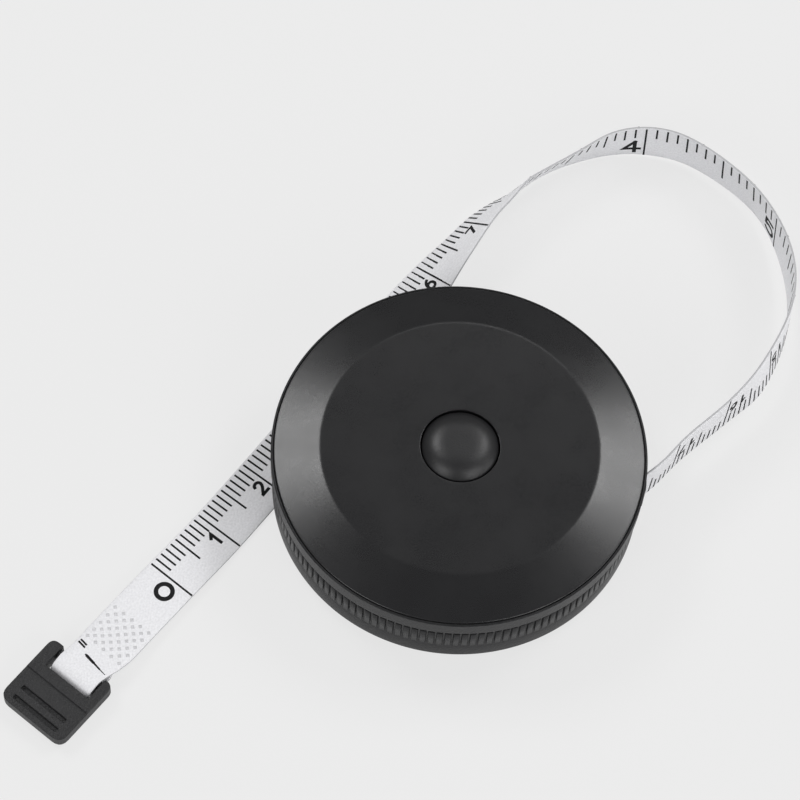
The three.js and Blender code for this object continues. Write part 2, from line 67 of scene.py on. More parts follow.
# Loose tape from the end tab to the mouth: x, y, z in millimetres and roll in degrees
ROUTE = [
    (-45.4, -28.8, 1.9, 0), (-42.6, -24.5, 1.2, 0), (-37.7, -17.4, 0.9, 0), (-32.2, -9.4, 0.4, 0),
    (-21.5, 7.4, 0.3, 0),
    (-12.1, 22.6, 0.4, 0), (-8.9, 27.6, 1.0, 10), (-5.8, 32.5, 2.1, 26), (-2.5, 37.3, 3.5, 42),
    (0.8, 42.1, 4.5, 53), (3.3, 45, 4.6, 60), (6, 47.9, 4.4, 71), (9, 50.6, 4.3, 69.5),
    (13, 53.5, 4.2, 72), (19, 56.8, 4.2, 84.5), (24.8, 57.6, 4.4, 89),
    (30.5, 56.2, 4.6, 87), (40.3, 48.6, 5.1, 84), (45, 38.5, 5.9, 90), (45.5, 29.9, 6.4, 88),
    (41.8, 19.1, 6.8, 82), (37.3, 13.2, 7.1, 89.5), (31, 6.4, 7.4, 91.5),
]
# Then places on the straight run past the mouth: millimetres and roll in degrees
MOUTH_STEPS = ((-3, 92), (3, 90), (10, 90))
BAR = Vector((-48.33, -32.317, 1.45)) * MM
TAB_HEADING = math.radians(55.5)
LOOP_RADIUS = 1.175 * MM
LOOP_REACH = 2.3 * MM
MOUTH_ANGLE = math.radians(-0.2)
RUN_RADIUS = 18.155 * MM
LAST_TURN, TURN_KNOTS = math.radians(255), 16
INSIDE = 6 * MM
INCH = 25.4 * MM
WOUND_TURN = 0.01

# Where the width, the fold and the print change along the tape
START_KNOTS = 0.7
NECK_END = 0.8 * MM
TUCK_START, TUCK_RUN = 7.5 * MM, 1.5 * MM
FOLD_RUN, FOLD_GAP, FOLD_POINTS = 5 * MM, 0.4 * MM, 120
FOLD_END, FOLD_STATION = 4 * MM, 0.25 * MM
LAG_START, LEAD_START, PRINT_RUN = 70 * MM, 145 * MM, 30 * MM

# Printed lines: every so many marks, and the length in millimetres
CM_LINES = ((10, math.inf), (5, 4.5), (1, 2.7))
INCH_LINES = ((16, math.inf), (8, 5.2), (4, 3.9), (2, 2.9), (1, 2.5))
LINE_END, LINES_AT_MOST = 0.1 * MM, 400

# Numerals in millimetres: top from the edge of the lines, width, height, stroke
CM_NUMERALS = (3.2, 1.6, 2.35, 0.46)
INCH_NUMERALS = (3.6, 2.9, 3.45, 0.58)
NUMERAL_GAP, DIGIT_GAP, STROKE_STEP, MITER_LIMIT = 0.5 * MM, 0.7, 0.25 * MM, 0.45

# The zero in millimetres: outer and inner radius, before its line, from the edge of the lines
ZERO = (1.45, 0.82, 2.0, 4.4)

# Weld: rows of dots, bare margin at the tape's edges, and tone against the cloth
WELD_ROWS, WELD_MARGIN, WELD_TONE = 9, 0.2 * MM, 0.78

# Marks next to the fold in millimetres: both ends along and across, and thickness
FOLD_MARKS = (
    ((1.92, -1.0), (1.88, -0.6), 0.24), ((1.88, -0.7), (1.78, 0.5), 0.4),
    ((1.78, 0.4), (1.66, 1.8), 0.27), ((1.66, 1.7), (1.56, 2.9), 0.13),
    ((2.6, -3.05), (2.55, -2.0), 0.27), ((3.02, -3.05), (2.97, -2.1), 0.27))

# Half of a rib: share of the pitch and of the height, the foot sunk below the floor, and its ends
RIB_HALF = ((0.5, -1), (0.5, 0), (0.4, 0), (0.33, 0.86), (0.27, 1))
RIB_ENDS = ((-0.5, 0.7), (-0.47, 1), (0.47, 1), (0.5, 0.7))
RIB_FOOT, RIB_SINK, RIB_SPARE = 0.15 * MM, 0.05 * MM, 0.3

# Rounded corners of the covers, the band and the button
HOLE_CORNER, FACE_CORNER, EDGE_CORNER, END_CORNER = 0.08 * MM, 2.0 * MM, 0.2 * MM, 0.05 * MM
FOOT_CORNER, COLLAR_CORNER, SEAT_CORNER = 0.15 * MM, 0.1 * MM, 0.06 * MM
FLANGE_CORNER, DOME_CORNER = 0.1 * MM, 0.3 * MM
LIP_CORNER, LIP_BEND, LIP_SKIN = 0.08 * MM, 0.6, 0.02 * MM

# Forms that are joined or cut reach this far past each other
LIP_OVERLAP, STEM_OVERLAP, SOCKET_SPARE = 0.2 * MM, 0.2 * MM, 1.0 * MM
SLOT_BEFORE, SLOT_PAST = -5 * MM, 6 * MM

# Covers: where the bevel's drop is measured, and the slope inside against the one outside
BEVEL_INSET, INNER_SLOPE = 0.3 * MM, 0.955

# Steps of the dome, of a wound turn, of the last turn and of the cord's path
DOME_STEPS, TURN_STEPS, LAST_TURN_STEPS, PATH_STEPS = 36, 72, 150, 160

# Cloth: threads in a width, their share, darkest and lightest tone, and the greyer edges
THREADS, WEAVE, CLOTH_TONES = 26, 0.12, (0.79, 1.26)
EDGE_START, EDGE_END, EDGE_SHARE, EDGE_TONE = 0.489, 0.497, 0.7, 0.4

# Floor: half of its side, and how far it is below the part
FLOOR_HALF, FLOOR_DROP = 1.5, 0.05 * MM

# Broad mottling's scale and how far the roughness goes up and down with it
MOTTLE_SCALE, ROUGH_SPREAD = 160, 0.05

# Moulded finishes: roughness, grain and its depth in millimetres, mottling, metallic, gloss
LOOKS = {
    "case_plastic": (0.29, 0.1, 0.004, 0.12, 0, 0.5),
    "band_plastic": (0.38, 0.36, 0.06, 0.8, 0, 0.16),
    "button_plastic": (0.43, 0.22, 0.018, 0.12, 0, 0.5),
    "tab_plastic": (0.5, 0.3, 0.11, 0.8, 0, 0.42),
    "scale_ink": (0.75, 0.12, 0.004, 0.4, 0, 0.15),
    "weld_cloth": (0.6, 0.3, 0.02, 0.2, 0, 0.5),
    "reel_plastic": (0.5, 0.15, 0.006, 0.05, 0, 0.5),
    "arbor_plastic": (0.5, 0.15, 0.006, 0.08, 0, 0.5),
    "spring_wire": (0.32, 0.08, 0.003, 0.1, 1, 0.5),
    "brake_rubber": (0.75, 0.12, 0.02, 0.15, 0, 0.5),
}

# Lamps: place, size and the setting of their power
LAMPS = {
    "lamp_left": ((-0.55, 0.40, 0.79), (0.44, 0.31), "side_light"),
    "lamp_right": ((0.55, 0.43, 0.785), (0.46, 0.31), "side_light"),
    "fill_left": ((-0.55, -0.65, 0.52), (0.5, 0.5), "fill_light"),
    "fill_right": ((0.55, -0.65, 0.52), (0.5, 0.5), "fill_light"),
    "lamp_back": ((0.06, 0.62, 0.78), (0.12, 0.25), "back_light"),
    "lamp_low": ((0.60, -0.12, 0.16), (0.3, 0.2), "low_light"),
}

# Numerals as strokes in a box one wide and one high; True where the stroke is a smooth curve
STROKES = {
    "0": [
        (True, ((0.5, 1), (0.16, 0.9), (0, 0.5), (0.16, 0.1), (0.5, 0), (0.84, 0.1), (1, 0.5),
                (0.84, 0.9), (0.5, 1))),
    ],
    "1": [
        (False, ((0.15, 0.72), (0.6, 1), (0.6, 0))),
    ],
    "2": [
        (True, ((0, 0.72), (0.14, 0.92), (0.5, 1), (0.86, 0.92), (0.98, 0.72), (0.8, 0.48),
                (0.4, 0.24), (0, 0))),
        (False, ((0, 0), (1, 0))),
    ],
    "3": [
        (True, ((0.02, 0.84), (0.2, 0.97), (0.5, 1), (0.84, 0.93), (0.94, 0.76), (0.8, 0.6),
                (0.42, 0.53))),
        (True, ((0.42, 0.53), (0.86, 0.46), (1, 0.27), (0.84, 0.06), (0.5, 0), (0.16, 0.04),
                (0, 0.2))),
    ],
    "4": [
        (False, ((0.7, 0), (0.7, 1))),
        (False, ((0.7, 1), (0, 0.3), (1, 0.3))),
    ],
    "5": [
        (False, ((0.94, 1), (0.14, 1), (0.08, 0.53))),
        (True, ((0.08, 0.53), (0.5, 0.63), (0.88, 0.54), (1, 0.32), (0.86, 0.08), (0.5, 0),
                (0.16, 0.05), (0, 0.2))),
    ],
    "6": [
        (True, ((0.86, 0.98), (0.5, 0.9), (0.16, 0.66), (0.02, 0.34), (0.16, 0.07), (0.5, 0),
                (0.86, 0.08), (1, 0.3), (0.84, 0.54), (0.5, 0.61), (0.16, 0.53), (0.02, 0.34))),
    ],
    "7": [
        (False, ((0, 1), (1, 1), (0.36, 0))),
    ],
    "8": [
        (True, ((0.5, 0.53), (0.12, 0.64), (0.06, 0.8), (0.2, 0.95), (0.5, 1), (0.8, 0.95),
                (0.94, 0.8), (0.88, 0.64), (0.5, 0.53))),
        (True, ((0.5, 0.53), (0.12, 0.43), (0, 0.26), (0.14, 0.06), (0.5, 0), (0.86, 0.06),
                (1, 0.26), (0.88, 0.43), (0.5, 0.53))),
    ],
    "9": [
        (True, ((0.14, 0.02), (0.5, 0.1), (0.84, 0.34), (0.98, 0.66), (0.84, 0.93), (0.5, 1),
                (0.14, 0.92), (0, 0.7), (0.16, 0.46), (0.5, 0.39), (0.84, 0.47), (0.98, 0.66))),
    ],
}


# Settings

def length(name, description, default):
    """A length, its default in millimetres."""
    return FloatProperty(name=name, description=description, default=default * MM, unit="LENGTH",
                         precision=5)


def tint(name, description, default):
    """A colour."""
    return FloatVectorProperty(name=name, description=description, default=default, subtype="COLOR",
                               size=3, min=0, max=1)


def amount(name, description, default):
    """A share from none to all."""
    return FloatProperty(name=name, description=description, default=default, subtype="FACTOR",
                         min=0, max=1)


def power(name, description, default):
    """The power of a lamp."""
    return FloatProperty(name=name, description=description, default=default, min=0, unit="POWER")


class TAPEMEASURE_PG_case(bpy.types.PropertyGroup):
    diameter: length("Diameter", "Across the front cover", 50.7)
    height: length("Height", "Back face to front face", 15)
    front_face: length("Front face", "Diameter of the flat front face", 38.1)
    back_edge: length("Back edge", "Radius of the back cover", 25.0)
    back_face: length("Back face", "Diameter of the flat back face", 26)
    bevel_drop: length("Bevel drop", "Face to the bevel's outer edge", 1.63)
    shell: length("Shell", "Wall of a cover", 1.5)
    cover_end: length("Cover end", "Face to the joint with the band", 2.6)
    spigot: length("Spigot", "Radius of the lip that fits into the band", 23.1)
    spigot_end: length("Spigot end", "Face to the end of that lip", 3.3)
    spigot_wall: length("Spigot wall", "Thickness of that lip", 1.1)
    tube_wall: length("Tube wall", "Guide tube round the button's hole", 1.0)
    thrust_outer: length("Thrust ring outside", "Radius of the ring under the reel", 9.0)
    thrust_inner: length("Thrust ring inside", "Inner radius of that ring", 7.6)
    thrust_top: length("Thrust ring top", "Above the back face", 2.3)
    boss: length("Boss", "Radius of the bearing boss", 4.2)
    boss_top: length("Boss top", "Above the back face", 3.5)
    socket: length("Socket", "Arbor's hexagon socket across flats", 5.0)
    socket_floor: length("Socket floor", "Above the back face", 1.0)
    colour: tint("Colour", "Satin moulded plastic", FINISHES["case_black"])


class TAPEMEASURE_PG_band(bpy.types.PropertyGroup):
    radius: length("Radius", "Smooth outer surface", 25.5)
    inner: length("Inner radius", "Inside of the wall", 23.4)
    bottom: length("Bottom", "Lower edge above the back face", 2.6)
    ribs: IntProperty(name="Ribs", description="Ribs round the rim", default=140, min=12)
    rib_height: length("Rib height", "Ribs from end to end", 3.8)
    rib_depth: length("Rib depth", "Smooth surface to the groove's floor", 0.32)
    line: length("Groove", "Plain groove above the ribs", 1.15)
    collar: length("Collar", "Radius of the smooth ring above the ribs", 25.75)
    collar_drop: length("Collar drop", "Front face to the collar's top", 1.85)
    collar_fall: length("Collar fall", "Half of the fall of its top face", 0.07)
    seam: length("Seam", "Open joint between the front cover and the collar", 0.09)
    mouth: length("Mouth", "Width of the slot for the tape", 1.0)
    mouth_half: length("Mouth half height", "Middle of the slot to its end", 4.2)
    lip: length("Lip", "Lip on one side of the slot, proud of the band", 0.5)
    lip_wall: length("Lip wall", "Thickness of the lip", 1.0)
    lip_height: length("Lip height", "Height of the lip", 5.0)
    runout_start: length("Runout start", "Where the ribs' floor starts, below the ribs", 0.4)
    runout_end: length("Runout end", "Where it is at its full depth, above the ribs' ends", 1.2)
    colour: tint("Colour", "Matte grained plastic", FINISHES["band_black"])


class TAPEMEASURE_PG_button(bpy.types.PropertyGroup):
    diameter: length("Diameter", "Button across", 10.5)
    dome: length("Dome", "Crown above the front face", 1.35)
    shoulder: FloatProperty(name="Shoulder", default=4.0, min=2,
                            description="Power of the dome's curve, flatter on top when high")
    rim_drop: length("Rim drop", "Dome's edge below the front face", 0.35)
    gap: length("Gap", "Room round the button", 0.2)
    flange: length("Flange radius", "Flange that carries the brake ring", 8.7)
    flange_top: length("Flange top", "Above the back face", 10.65)
    flange_bottom: length("Flange bottom", "Above the back face", 9.85)
    seat: length("Spring seat", "Height of the seat above the back face", 12.15)
    pocket: length("Spring pocket", "Radius of the spring's room", 2.6)
    stem: length("Stem", "Hexagon stem across flats", 2.4)
    stem_end: length("Stem end", "Above the back face", 4.5)
    colour: tint("Colour", "Satin moulded plastic", FINISHES["button_black"])


class TAPEMEASURE_PG_tape(bpy.types.PropertyGroup):
    width: length("Width", "Edge to edge", 7.8)
    neck: length("Neck", "Width where it is folded round the tab's bar", 6.8)
    flare: length("Flare", "Distance from the bar to the full width", 6)
    tuck: length("Tuck", "How much narrower the folded end is under the tape", 1.0)
    thickness: length("Thickness", "Coated cloth", 0.35)
    station: length("Station", "Spacing of the strip's cross sections", 0.7)
    zero: length("Zero line", "From the top of the tab's bar", 18.3)
    slack: length("Slack", "How far the print falls behind the route in the twist", 1.3)
    lead: length("Lead", "How far the print gains on the route before the mouth", 0.6)
    inch_shift: length("Inch shift", "Zero of the inches from the zero of the centimetres", -0.4)
    edge: length("Edge", "Tape's edge to the first end of a line", 0.3)
    line: length("Line", "Width of a printed line", 0.28)
    print_depth: length("Print", "Thickness of the ink", 0.03)
    weld: length("Weld", "Folded end under the tape", 11.6)
    weld_start: length("Weld start", "First row of dots from the bar", 4.2)
    weld_pitch: length("Weld pitch", "Spacing of the dots in a row", 1.5)
    dot: length("Dot", "Size of a weld dot", 0.36)
    dot_height: length("Dot height", "Height of a weld dot", 0.08)
    layer: length("Layer", "Pitch of the wound turns", 0.375)
    wound_inner: length("Wound inner radius", "Innermost turn", 12.9)
    wound_outer: length("Wound outer radius", "Outermost turn on the reel", 17.68)
    cloth: tint("Cloth", "Coated woven cloth", FINISHES["tape_white"])
    ink: tint("Ink", "Printed scale", (0.012, 0.012, 0.013))


class TAPEMEASURE_PG_tab(bpy.types.PropertyGroup):
    voxel: length("Voxel", "Fineness of the rounded surface", 0.09)
    soften: IntProperty(name="Soften", description="Smoothing steps of its edges", default=2, min=0)
    colour: tint("Colour", "Matte moulded plastic", FINISHES["tab_black"])


class TAPEMEASURE_PG_stage(bpy.types.PropertyGroup):
    target: FloatVectorProperty(name="Target", description="Point that the camera looks at",
                                default=(-8.73 * MM, 13.66 * MM, 0), subtype="TRANSLATION",
                                unit="LENGTH")
    distance: length("Distance", "Camera to its target", 450)
    elevation: FloatProperty(name="Elevation", description="Camera above the ground",
                             default=1.10433, unit="ROTATION")
    roll: FloatProperty(name="Roll", description="Turn of the picture", default=0.09089,
                        unit="ROTATION")
    lens: FloatProperty(name="Lens", description="Focal length in millimetres", default=142.6,
                        unit="CAMERA")
    ground: tint("Ground", "Pale floor", (0.83, 0.83, 0.83))
    ground_glow: amount("Ground glow", "Share of the floor that shows as its plain colour", 0.86)
    sky: amount("Sky", "Even light from all round", 0.16)
    side_light: power("Side light", "Power of each side lamp", 4.0)
    fill_light: power("Fill light", "Power of each front lamp", 3.1)
    back_light: power("Back light", "Power of the small lamp behind", 0.32)
    low_light: power("Low light", "Power of the low lamp at the right", 0.55)


class TAPEMEASURE_PG_settings(bpy.types.PropertyGroup):
    case: PointerProperty(type=TAPEMEASURE_PG_case)
    band: PointerProperty(type=TAPEMEASURE_PG_band)
    button: PointerProperty(type=TAPEMEASURE_PG_button)
    tape: PointerProperty(type=TAPEMEASURE_PG_tape)
    tab: PointerProperty(type=TAPEMEASURE_PG_tab)
    stage: PointerProperty(type=TAPEMEASURE_PG_stage)


# Shared helpers

def put(name, mesh, material=None):
    """A new object at the origin with this mesh."""
    obj = bpy.data.objects.new(name, mesh)
    bpy.context.scene.collection.objects.link(obj)
    if material is not None:
        mesh.materials.clear()
        mesh.materials.append(material)
    return obj


def smooth_mesh(mesh, sharp=35):
    """Smooth shading, with sharp edges above an angle in degrees."""
    mesh.shade_smooth()
    mesh.set_sharp_from_angle(angle=math.radians(sharp))
    return mesh


def to_mesh(bm, name, sharp=35):
    """The bmesh as a smooth mesh."""
    mesh = bpy.data.meshes.new(name)
    bm.to_mesh(mesh)
    bm.free()
    return smooth_mesh(mesh, sharp)


def node_copy(node, name, material, sharp=35):
    """A new object with the mesh of a CAD node, its corners merged."""
    bm = bmesh.new()
    bm.from_mesh(frame["nodes"][node].data)
    bmesh.ops.remove_doubles(bm, verts=bm.verts[:], dist=MERGE)
    return put(name, to_mesh(bm, name, sharp), material)


def settle(obj, sharp=35):
    """Turns the object's modifiers into plain mesh."""
    deps = bpy.context.evaluated_depsgraph_get()
    mesh = bpy.data.meshes.new_from_object(obj.evaluated_get(deps))
    obj.modifiers.clear()
    obj.data = smooth_mesh(mesh, sharp)
    return obj


def join_form(obj, other, operation):
    """Adds or cuts another closed form, which is then removed."""
    mod = obj.modifiers.new(operation.lower(), "BOOLEAN")
    mod.operation = operation
    mod.solver = "EXACT"
    mod.object = other
    settle(obj)
    bpy.data.objects.remove(other)
    return obj


def dress(obj, body, slot, *nodes):
    """Lets a piece ride on a body and hides the CAD nodes that it stands for; the slot is not used.
    """
    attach(obj, body)
    if nodes:
        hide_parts(*nodes)
    return obj


def add(tree, kind, inputs=None, **options):
    """A new node; an input is a value or another node's output."""
    node = tree.nodes.new(kind)
    for key, value in options.items():
        setattr(node, key, value)
    for key, value in (inputs or {}).items():
        if isinstance(value, bpy.types.NodeSocket):
            tree.links.new(value, node.inputs[key])
        else:
            node.inputs[key].default_value = value
    return node


def calc(tree, operation, a, b=0.0):
    """The output of a maths node."""
    return add(tree, "ShaderNodeMath", {0: a, 1: b}, operation=operation).outputs[0]


def rounded(outline, steps=6, support=0.25 * MM, most=0.49):
    """Closed outline whose corners (x, y, radius) become arcs with a support point each side."""
    out = []
    for i, (x, y, radius) in enumerate(outline):
        corner = Vector((x, y))
        if radius == 0:
            out.append((x, y))
            continue
        before = Vector(outline[i - 1][:2]) - corner
        after = Vector(outline[(i + 1) % len(outline)][:2]) - corner
        half = before.angle(after) / 2
        room = most * min(before.length, after.length)
        reach = min(radius / math.tan(half), room)
        radius = reach * math.tan(half)
        u, v = before.normalized(), after.normalized()
        middle = corner + (u + v).normalized() * (radius / math.sin(half))
        spare = min(support, room - reach)
        if spare > SHORTEST:
            out.append(tuple(corner + u * (reach + spare)))
        start, end = corner + u * reach - middle, corner + v * reach - middle
        sweep = start.angle_signed(end)
        for k in range(steps + 1):
            turn = Matrix.Rotation(-sweep * k / steps, 2)
            out.append(tuple(middle + turn @ start))
        if spare > SHORTEST:
            out.append(tuple(corner + v * (reach + spare)))
    return out


def lathe(outline, segments=224):
    """Closed outline of (radius, height) points turned about Z, as a bmesh."""
    bm = bmesh.new()
    rings = []
    for r, z in outline:
        count = 1 if r < ON_AXIS else segments
        turn = [2 * math.pi * i / count for i in range(count)]
        rings.append([bm.verts.new((r * math.cos(a), r * math.sin(a), z)) for a in turn])
    for low, high in zip(rings, rings[1:] + rings[:1]):
        for i in range(segments):
            j = i + 1
            corners = (low[i % len(low)], low[j % len(low)],
                       high[j % len(high)], high[i % len(high)])
            corners = list(dict.fromkeys(corners))
            if len(corners) > 2:
                bm.faces.new(corners)
    bmesh.ops.recalc_face_normals(bm, faces=bm.faces[:])
    return bm


def bridge(bm, rows, closed=True):
    """Faces between neighbouring rows of vertices; a closed row joins its own ends."""
    for a, b in zip(rows, rows[1:]):
        for i in range(len(a) - (not closed)):
            j = (i + 1) % len(a)
            bm.faces.new((a[i], a[j], b[j], b[i]))


def prism(points, z0, z1):
    """Upright prism on a closed outline, as a bmesh."""
    bm = bmesh.new()
    ends = [[bm.verts.new((x, y, z)) for x, y in points] for z in (z0, z1)]
    for end in ends:
        bm.faces.new(end)
    bridge(bm, ends)
    bmesh.ops.recalc_face_normals(bm, faces=bm.faces[:])
    return bm


def hexagon(flats):
    """Corners of a hexagon of this width across its flats."""
    r = flats / math.sqrt(3)
    return [(r * math.cos(k * math.pi / 3), r * math.sin(k * math.pi / 3)) for k in range(6)]


def unit(a):
    """Vectors of length one."""
    return a / np.linalg.norm(a, axis=-1, keepdims=True)


def soft_step(share):
    """Share from 0 to 1 with level ends."""
    share = np.clip(share, 0, 1)
    return share * share * (3 - 2 * share)


def settings():
    """The settings in the open scene."""
    return bpy.context.scene.tape_measure


# The tape's line

def run_line():
    """Mouth point, straight run inward, the direction across it and its heading in plan."""
    band = settings().band
    lean = math.asin(RUN_RADIUS / band.radius)
    heading = MOUTH_ANGLE + math.pi + lean
    run = Vector((math.cos(heading), math.sin(heading), 0))
    side = Vector((-run.y, run.x, 0))
    mouth = Vector((math.cos(MOUTH_ANGLE), math.sin(MOUTH_ANGLE), 0)) * band.radius
    mouth.z = settings().case.height / 2
    return mouth, run, side, heading


def centripetal(knots, t):
    """Point on the centripetal curve through the knots."""
    i = min(int(t), len(knots) - 2)
    u = t - i
    p1, p2 = knots[i], knots[i + 1]
    p0 = knots[i - 1] if i > 0 else 2 * p1 - p2
    p3 = knots[i + 2] if i + 2 < len(knots) else 2 * p2 - p1
    d0, d1, d2 = (np.linalg.norm(b - a) ** 0.5 for a, b in ((p0, p1), (p1, p2), (p2, p3)))
    m1 = ((p1 - p0) / d0 - (p2 - p0) / (d0 + d1) + (p2 - p1) / d1) * d1
    m2 = ((p2 - p1) / d1 - (p3 - p1) / (d1 + d2) + (p3 - p2) / d2) * d1
    return p1 + m1 * u + (3 * (p2 - p1) - 2 * m1 - m2) * u ** 2 + (2 * (p1 - p2) + m1 + m2) * u ** 3


def eased(values, t):
    """Smooth value between knots, with slopes from their neighbours."""
    i = min(int(t), len(values) - 2)
    u = t - i
    a, b = values[i], values[i + 1]
    m1 = (b - values[max(i - 1, 0)]) / 2
    m2 = (values[min(i + 2, len(values) - 1)] - a) / 2
    return a + m1 * u + (3 * (b - a) - 2 * m1 - m2) * u ** 2 + (2 * (a - b) + m1 + m2) * u ** 3


class TapeLine:
    """Middle line of the tape: distance from the bar's top, point, direction across and normal
    of the centimetre face. The folded end has distances below zero."""

    def __init__(self, per_knot=24):
        mouth, run, _, heading = run_line()
        knots = [np.array(BAR) + (0, 0, LOOP_RADIUS)]
        rolls = [0.0]
        for x, y, z, roll in ROUTE:
            knots.append(np.array((x, y, z)) * MM)
            rolls.append(math.radians(roll))
        for step, roll in MOUTH_STEPS:
            knots.append(np.array(mouth + run * (step * MM)))
            rolls.append(math.radians(roll))
        for a in heading - 1.5 * math.pi - LAST_TURN * np.linspace(0, 1, TURN_KNOTS):
            knots.append(np.array((RUN_RADIUS * math.cos(a), RUN_RADIUS * math.sin(a), mouth.z)))
            rolls.append(math.pi / 2)
        t = np.linspace(0, len(knots) - 1, (len(knots) - 1) * per_knot + 1)
        p = np.array([centripetal(knots, x) for x in t])
        roll = np.array([max(eased(rolls, x), 0) for x in t])[:, None]
        along = unit(np.gradient(p, axis=0))
        left = unit(np.stack([-along[:, 1], along[:, 0], 0 * along[:, 0]], -1))
        w = -np.cos(roll) * left + np.sin(roll) * np.cross(along, left)
        start = np.array((math.sin(TAB_HEADING), -math.cos(TAB_HEADING), 0))
        near = np.clip(1 - t / START_KNOTS, 0, 1)[:, None]
        w = unit(w * (1 - near) + start * near)
        fold = self.fold(p, settings().tape.weld)
        self.p = np.vstack([fold[:-1], p])
        self.w = np.vstack([np.repeat(w[:1], len(fold) - 1, 0), w])
        self.n = unit(np.cross(self.w, unit(np.gradient(self.p, axis=0))))
        self.s = np.r_[0, np.cumsum(np.linalg.norm(np.diff(self.p, axis=0), axis=1))]
        self.s -= self.s[len(fold) - 1]
        self.mouth = self.s[np.argmin(np.linalg.norm(self.p - np.array(mouth), axis=1))]
        self.inside = self.mouth + INSIDE

    @staticmethod
    def fold(route, weld):
        """The end that lies welded under the tape, and the loop round the tab's bar."""
        along = np.array((math.cos(TAB_HEADING), math.sin(TAB_HEADING)))
        near = route[:FOLD_POINTS]
        reach = (near[:, :2] - np.array(BAR.xy)) @ along
        points = []
        for u in np.linspace(weld, 0, 24, endpoint=False):
            x, y, above = (np.interp(u, reach, near[:, i]) for i in range(3))
            blend = soft_step(u / FOLD_RUN)
            points.append((x, y, (above - FOLD_GAP) * blend + (BAR.z - LOOP_RADIUS) * (1 - blend)))
        for a in np.linspace(-0.5, -1.5, 25) * math.pi:
            u, z = LOOP_REACH * math.cos(a), LOOP_RADIUS * math.sin(a)
            points.append((*(np.array(BAR.xy) + along * u), BAR.z + z))
        return np.array(points)

    def half(self, s):
        """Half of the width, less at the fold."""
        tape, s = settings().tape, np.atleast_1d(s)
        above = soft_step((s - NECK_END) / (tape.flare - NECK_END))
        below = np.clip((-s - TUCK_START) / TUCK_RUN, 0, 1)
        return (tape.neck + (tape.width - tape.neck) * above - tape.tuck * below) / 2

    def at(self, s):
        """Points, directions across and normals at these distances."""
        s = np.atleast_1d(s)
        p, w, n = (np.stack([np.interp(s, self.s, a[:, i]) for i in range(3)], -1)
                   for a in (self.p, self.w, self.n))
        return p, unit(w), unit(n)

    def surface(self, s, across, lift, face):
        """Points on the centimetre face (1) or the inch face (-1), lifted off the cloth."""
        p, w, n = self.at(s)
        rise = face * (settings().tape.thickness / 2 + np.atleast_1d(lift))
        return p + w * np.atleast_1d(across)[:, None] + n * rise[:, None]

    def mark(self, distance):
        """Place along the tape of a distance on the printed scale."""
        tape = settings().tape
        lag, lead = (soft_step((distance - start) / PRINT_RUN) for start in (LAG_START, LEAD_START))
        return tape.zero + distance - tape.slack * lag + tape.lead * lead


def ribbon(name, line, distances, thickness, material):
    """Closed strip with rounded edges along the line, with UV in widths along and across."""
    half, t = line.half(distances)[:, None], thickness / 2
    width = 2 * half.max()
    # Cross section: nine points on each face and three on each rounded edge
    share = np.r_[np.linspace(-1, 1, 9), 1, 1, 1, np.linspace(1, -1, 9), -1, -1, -1]
    inset = np.tile(np.r_[np.full(9, 0.8), 0.25, 0, 0.25], 2) * t
    lift = np.r_[np.ones(9), 0.7, 0, -0.7, -np.ones(9), -0.7, 0, 0.7] * t
    across = share * (half - inset)
    p, w, n = line.at(distances)
    rings = p[:, None] + w[:, None] * across[:, :, None] + n[:, None] * lift[None, :, None]
    count = len(share)
    faces, uv = [], []

    def corner(i, j):
        return distances[i] / width, across[i, j % count] / (2 * half[i, 0]) + 0.5

    for i in range(len(distances) - 1):
        for j in range(count):
            k = (j + 1) % count
            faces.append((i * count + j, i * count + k, (i + 1) * count + k, (i + 1) * count + j))
            uv += [corner(i, j), corner(i, k), corner(i + 1, k), corner(i + 1, j)]
    last = len(distances) - 1
    faces.append(tuple(range(count))[::-1])
    uv += [corner(0, j) for j in range(count)][::-1]
    faces.append(tuple(last * count + j for j in range(count)))
    uv += [corner(last, j) for j in range(count)]
    mesh = bpy.data.meshes.new(name)
    mesh.from_pydata(rings.reshape(-1, 3).tolist(), [], faces)
    layer = mesh.uv_layers.new(name="along_across")
    layer.data.foreach_set("uv", np.array(uv).ravel())
    return put(name, smooth_mesh(mesh, sharp=60), material)


# Node trees for what repeats

def node_tree(name, inputs):
    """A new geometry tree with named inputs, its input node and its output node."""
    tree = bpy.data.node_groups.new(name, "GeometryNodeTree")
    tree.interface.new_socket("Geometry", in_out="INPUT", socket_type="NodeSocketGeometry")
    for label, kind in inputs.items():
        tree.interface.new_socket(label, in_out="INPUT", socket_type="NodeSocket" + kind)
    tree.interface.new_socket("Geometry", in_out="OUTPUT", socket_type="NodeSocketGeometry")
    return tree, tree.nodes.new("NodeGroupInput").outputs, tree.nodes.new("NodeGroupOutput")


def close_tree(tree, instances, material, end):
    """Ends a tree: its instances become plain mesh with this material."""
    real = add(tree, "GeometryNodeRealizeInstances", {"Geometry": instances})
    painted = add(tree, "GeometryNodeSetMaterial", {
        "Geometry": real.outputs[0], "Material": material})
    tree.links.new(painted.outputs[0], end.inputs[0])
    return tree


def grow(obj, tree, values, sharp=35):
    """Runs a tree on the object with these input values and keeps the result as plain mesh."""
    mod = obj.modifiers.new(tree.name, "NODES")
    mod.node_group = tree
    for item in tree.interface.items_tree:
        if item.item_type == "SOCKET" and item.in_out == "INPUT" and item.name in values:
            mod[item.identifier] = values[item.name]
    return settle(obj, sharp)


def attribute(tree, name, kind):
    """The output of a named attribute."""
    return add(tree, "GeometryNodeInputNamedAttribute", {"Name": name}, data_type=kind).outputs[0]


